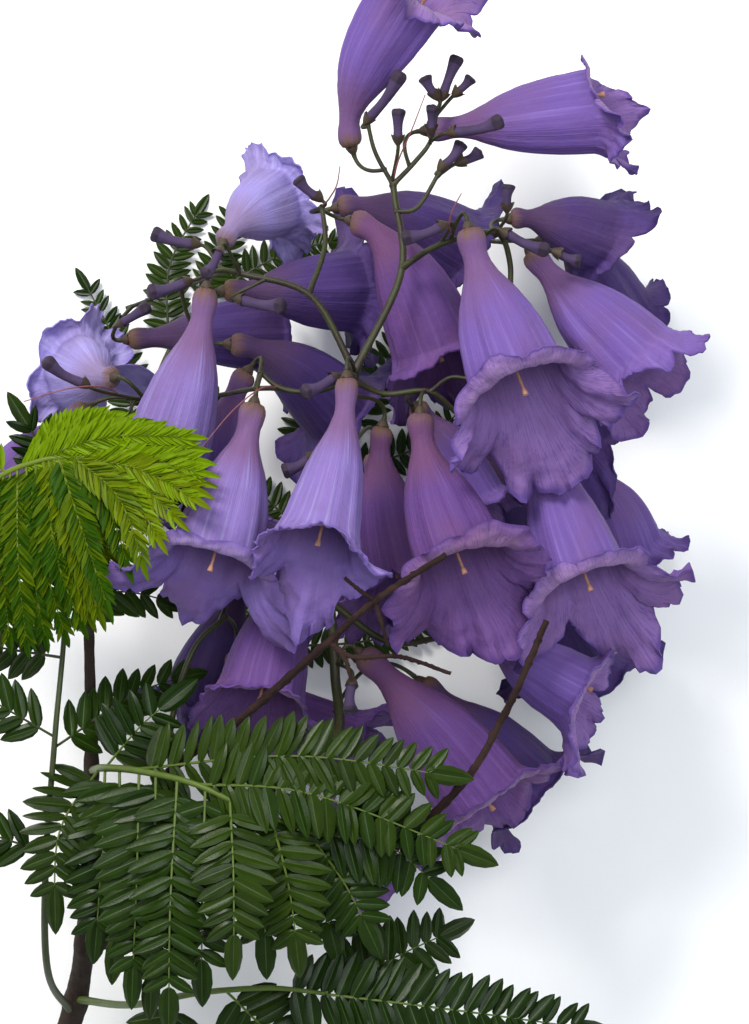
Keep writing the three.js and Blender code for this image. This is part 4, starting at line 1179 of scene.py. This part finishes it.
def petal_finish(name, neck, body, light, lobe, edge, shaded_throat, petal, band):
    """Petal skin: place is the cosine and sine of how far round, and how far along: 1 at the mouth"""
    finish = Finish(name, roughness=0.65, specular=0.15)
    place = finish.attribute("place")
    along = finish.part(place, "Z")
    inside = finish.attribute("inside", "Fac")
    streaks = finish.clouds(finish.stretched(place, (5, 5, 0.5)), 1.6, 4)
    veins = finish.clouds(finish.stretched(place, (17, 17, 0.9)), 1.5, 3)
    thin_veins = 1 - finish.step(abs(veins - 0.5), 0.0, 0.035)
    patches = finish.clouds(finish.place(), 75, 3)
    crinkles = finish.clouds(finish.place(), 900, 4)
    stops = [
        (0.0, (0.085, 0.045, 0.014)), (0.018, (0.125, 0.070, 0.036)), (0.06, neck), (0.17, neck),
        (0.28, body), (0.50, body), (0.62, lobe), (0.88, lobe), (1.0, edge),
    ]
    outside_colour = finish.ramp(along * 0.5 + (streaks - 0.5) * 0.10, stops)
    # painted highlight: pale streaks in the light colour on the outside past the neck stand in for sheen
    # off the long ridges
    painted_highlight_streaks = finish.step(streaks, 0.46, 0.68) * finish.step(along, 0.25, 0.6) * 0.85
    outside_colour = finish.mix(painted_highlight_streaks, outside_colour, light)
    # painted shade: the inside of the tube is darker than the inside of the lobes
    inside_stops = [(0.0, shaded_throat), (0.42, shaded_throat), (0.58, petal), (0.95, petal), (1.0, edge)]
    inside_colour = finish.ramp(along * 0.5 + (streaks - 0.5) * 0.16, inside_stops)
    near_lip = finish.step(finish.part(place, "X"), 0.1, 0.6) * (1 - finish.step(along, 1.45, 1.95))
    inside_colour = finish.mix(near_lip * 0.85, inside_colour, band)
    colour = finish.mix(inside, outside_colour, inside_colour)
    colour = finish.mix(finish.step(patches, 0.42, 0.72) * 0.5, colour, neck)
    colour = finish.mix(thin_veins * (0.45 + inside * 0.25), colour, edge)
    colour = finish.mix(finish.step(along, 1.93, 1.97) * 0.6, colour, edge)
    folds = finish.clouds(finish.place(), 260, 3)
    height = streaks * 0.8 + veins * 0.6 + crinkles * 0.6 + folds * finish.step(along, 0.6, 1.3) * 1.2
    return finish.coat(base_color=colour, normal=finish.bump(height, 0.6, 0.4))


# In each palette, light is the colour of the painted highlight streaks.
PETAL_COLOURS = dict(
    lit=dict(
        neck=(0.138, 0.070, 0.160), body=(0.165, 0.110, 0.315), light=(0.235, 0.200, 0.41),
        lobe=(0.160, 0.104, 0.31), edge=(0.115, 0.070, 0.26), shaded_throat=(0.125, 0.075, 0.205),
        petal=(0.132, 0.085, 0.262), band=(0.235, 0.165, 0.32),
    ),
    violet=dict(
        neck=(0.120, 0.058, 0.150), body=(0.110, 0.060, 0.24), light=(0.160, 0.102, 0.32),
        lobe=(0.130, 0.072, 0.26), edge=(0.085, 0.047, 0.20), shaded_throat=(0.135, 0.076, 0.20),
        petal=(0.175, 0.098, 0.275), band=(0.24, 0.145, 0.29),
    ),
    mauve=dict(
        neck=(0.110, 0.043, 0.110), body=(0.086, 0.037, 0.155), light=(0.125, 0.062, 0.215),
        lobe=(0.100, 0.046, 0.185), edge=(0.068, 0.032, 0.145), shaded_throat=(0.100, 0.050, 0.140),
        petal=(0.112, 0.053, 0.180), band=(0.20, 0.110, 0.21),
    ),
    # painted shade: a darker copy of the petal colours for the blooms that lie far in among the others
    painted_shade=dict(
        neck=(0.062, 0.031, 0.080), body=(0.050, 0.027, 0.120), light=(0.078, 0.046, 0.170),
        lobe=(0.062, 0.034, 0.145), edge=(0.038, 0.021, 0.105), shaded_throat=(0.036, 0.019, 0.060),
        petal=(0.062, 0.034, 0.120), band=(0.08, 0.052, 0.14),
    ),
    pale=dict(
        neck=(0.20, 0.145, 0.27), body=(0.23, 0.19, 0.44), light=(0.31, 0.275, 0.52),
        lobe=(0.23, 0.190, 0.44), edge=(0.16, 0.120, 0.36), shaded_throat=(0.26, 0.215, 0.40),
        petal=(0.30, 0.26, 0.48), band=(0.36, 0.31, 0.50),
    ),
)
petal_finishes = {name: petal_finish(f"petal_{name}", **places) for name, places in PETAL_COLOURS.items()}
for name, bloom in BLOOMS.items():
    bloom_piece(name, bloom, petal_finishes[bloom.petal])


# Staminodes: the one long barren stamen of each open bloom, a bent orange tan rod with a small bearded end,
# which shows under the near lip. It grows from inside the tube.
STAMINODE_ALONG = (0.5, 0.8, 1.0)  # of the tube
STAMINODE_RISE = (0.0, 0.15, 0.42)  # there, from the middle of the tube towards the near lip
STAMINODE_PAST_MOUTH = 3.4
STAMINODE_RADIUS = 0.30
BEARD = 0.28  # on top of that
BEARD_FROM = 0.86  # along the staminode

staminode_skin = mottled_finish(
    "staminode", (0.25, 0.105, 0.065), (0.38, 0.20, 0.14), mottle=(1500, 3), roughness=0.6
)
staminodes = Gathered()
for bloom in BLOOMS.values():
    turn = math.radians(bloom.turn)
    centre, ahead, out, side = bloom_spine(bloom, np.array(STAMINODE_ALONG))
    near = out * math.cos(turn) * FLATTENED + side * math.sin(turn)
    rise = np.array(STAMINODE_RISE)[:, None] * BLOOM_WIDTH * bloom.size / 2
    run = centre + near * rise
    end = run[-1] + ahead[-1] * STAMINODE_PAST_MOUTH * bloom.size
    spine = through([*run, end], steps=10)
    beard = BEARD * smooth((np.linspace(0, 1, len(spine)) - BEARD_FROM) / 0.1)
    add_limb(staminodes, spine, STAMINODE_RADIUS + beard, corners=8)
staminodes.piece("staminodes", "petal", [], [staminode_skin])


# Styles: the thin reddish threads that stay on a calyx after its bloom has dropped.
STYLE_RADII = (0.2, 0.1)
STYLES = [
    [(-10.6, 61.2, 48), (-9.2, 62.6, 53), (-7.6, 65.4, 56), (-7, 69, 57)],
    [(-19.5, 24.9, 61.3), (-23, 24.4, 67.5), (-28, 20.4, 70), (-34.6, 12.6, 72)],
    [(-50, 22.8, 46), (-54.5, 25, 56), (-61, 24.6, 61), (-70, 22, 62)],
    [(3.6, 66, 53), (4.6, 70, 56), (7.4, 76.4, 59), (10, 83.2, 60)],
    [(15.6, 54.2, 60), (14.8, 57.4, 64), (15.6, 60.4, 66), (17.2, 63.4, 66.5)],
]

style_skin = mottled_finish(
    "style", (0.11, 0.022, 0.026), (0.20, 0.062, 0.066), mottle=(600, 3), relief=(0.3, 0.1), roughness=0.5
)
styles = Gathered()
for points in STYLES:
    spine = through(points, steps=12)
    add_limb(styles, spine, tapering(spine, *STYLE_RADII), corners=6)
styles.piece("styles", "green_stalk", [], [style_skin])
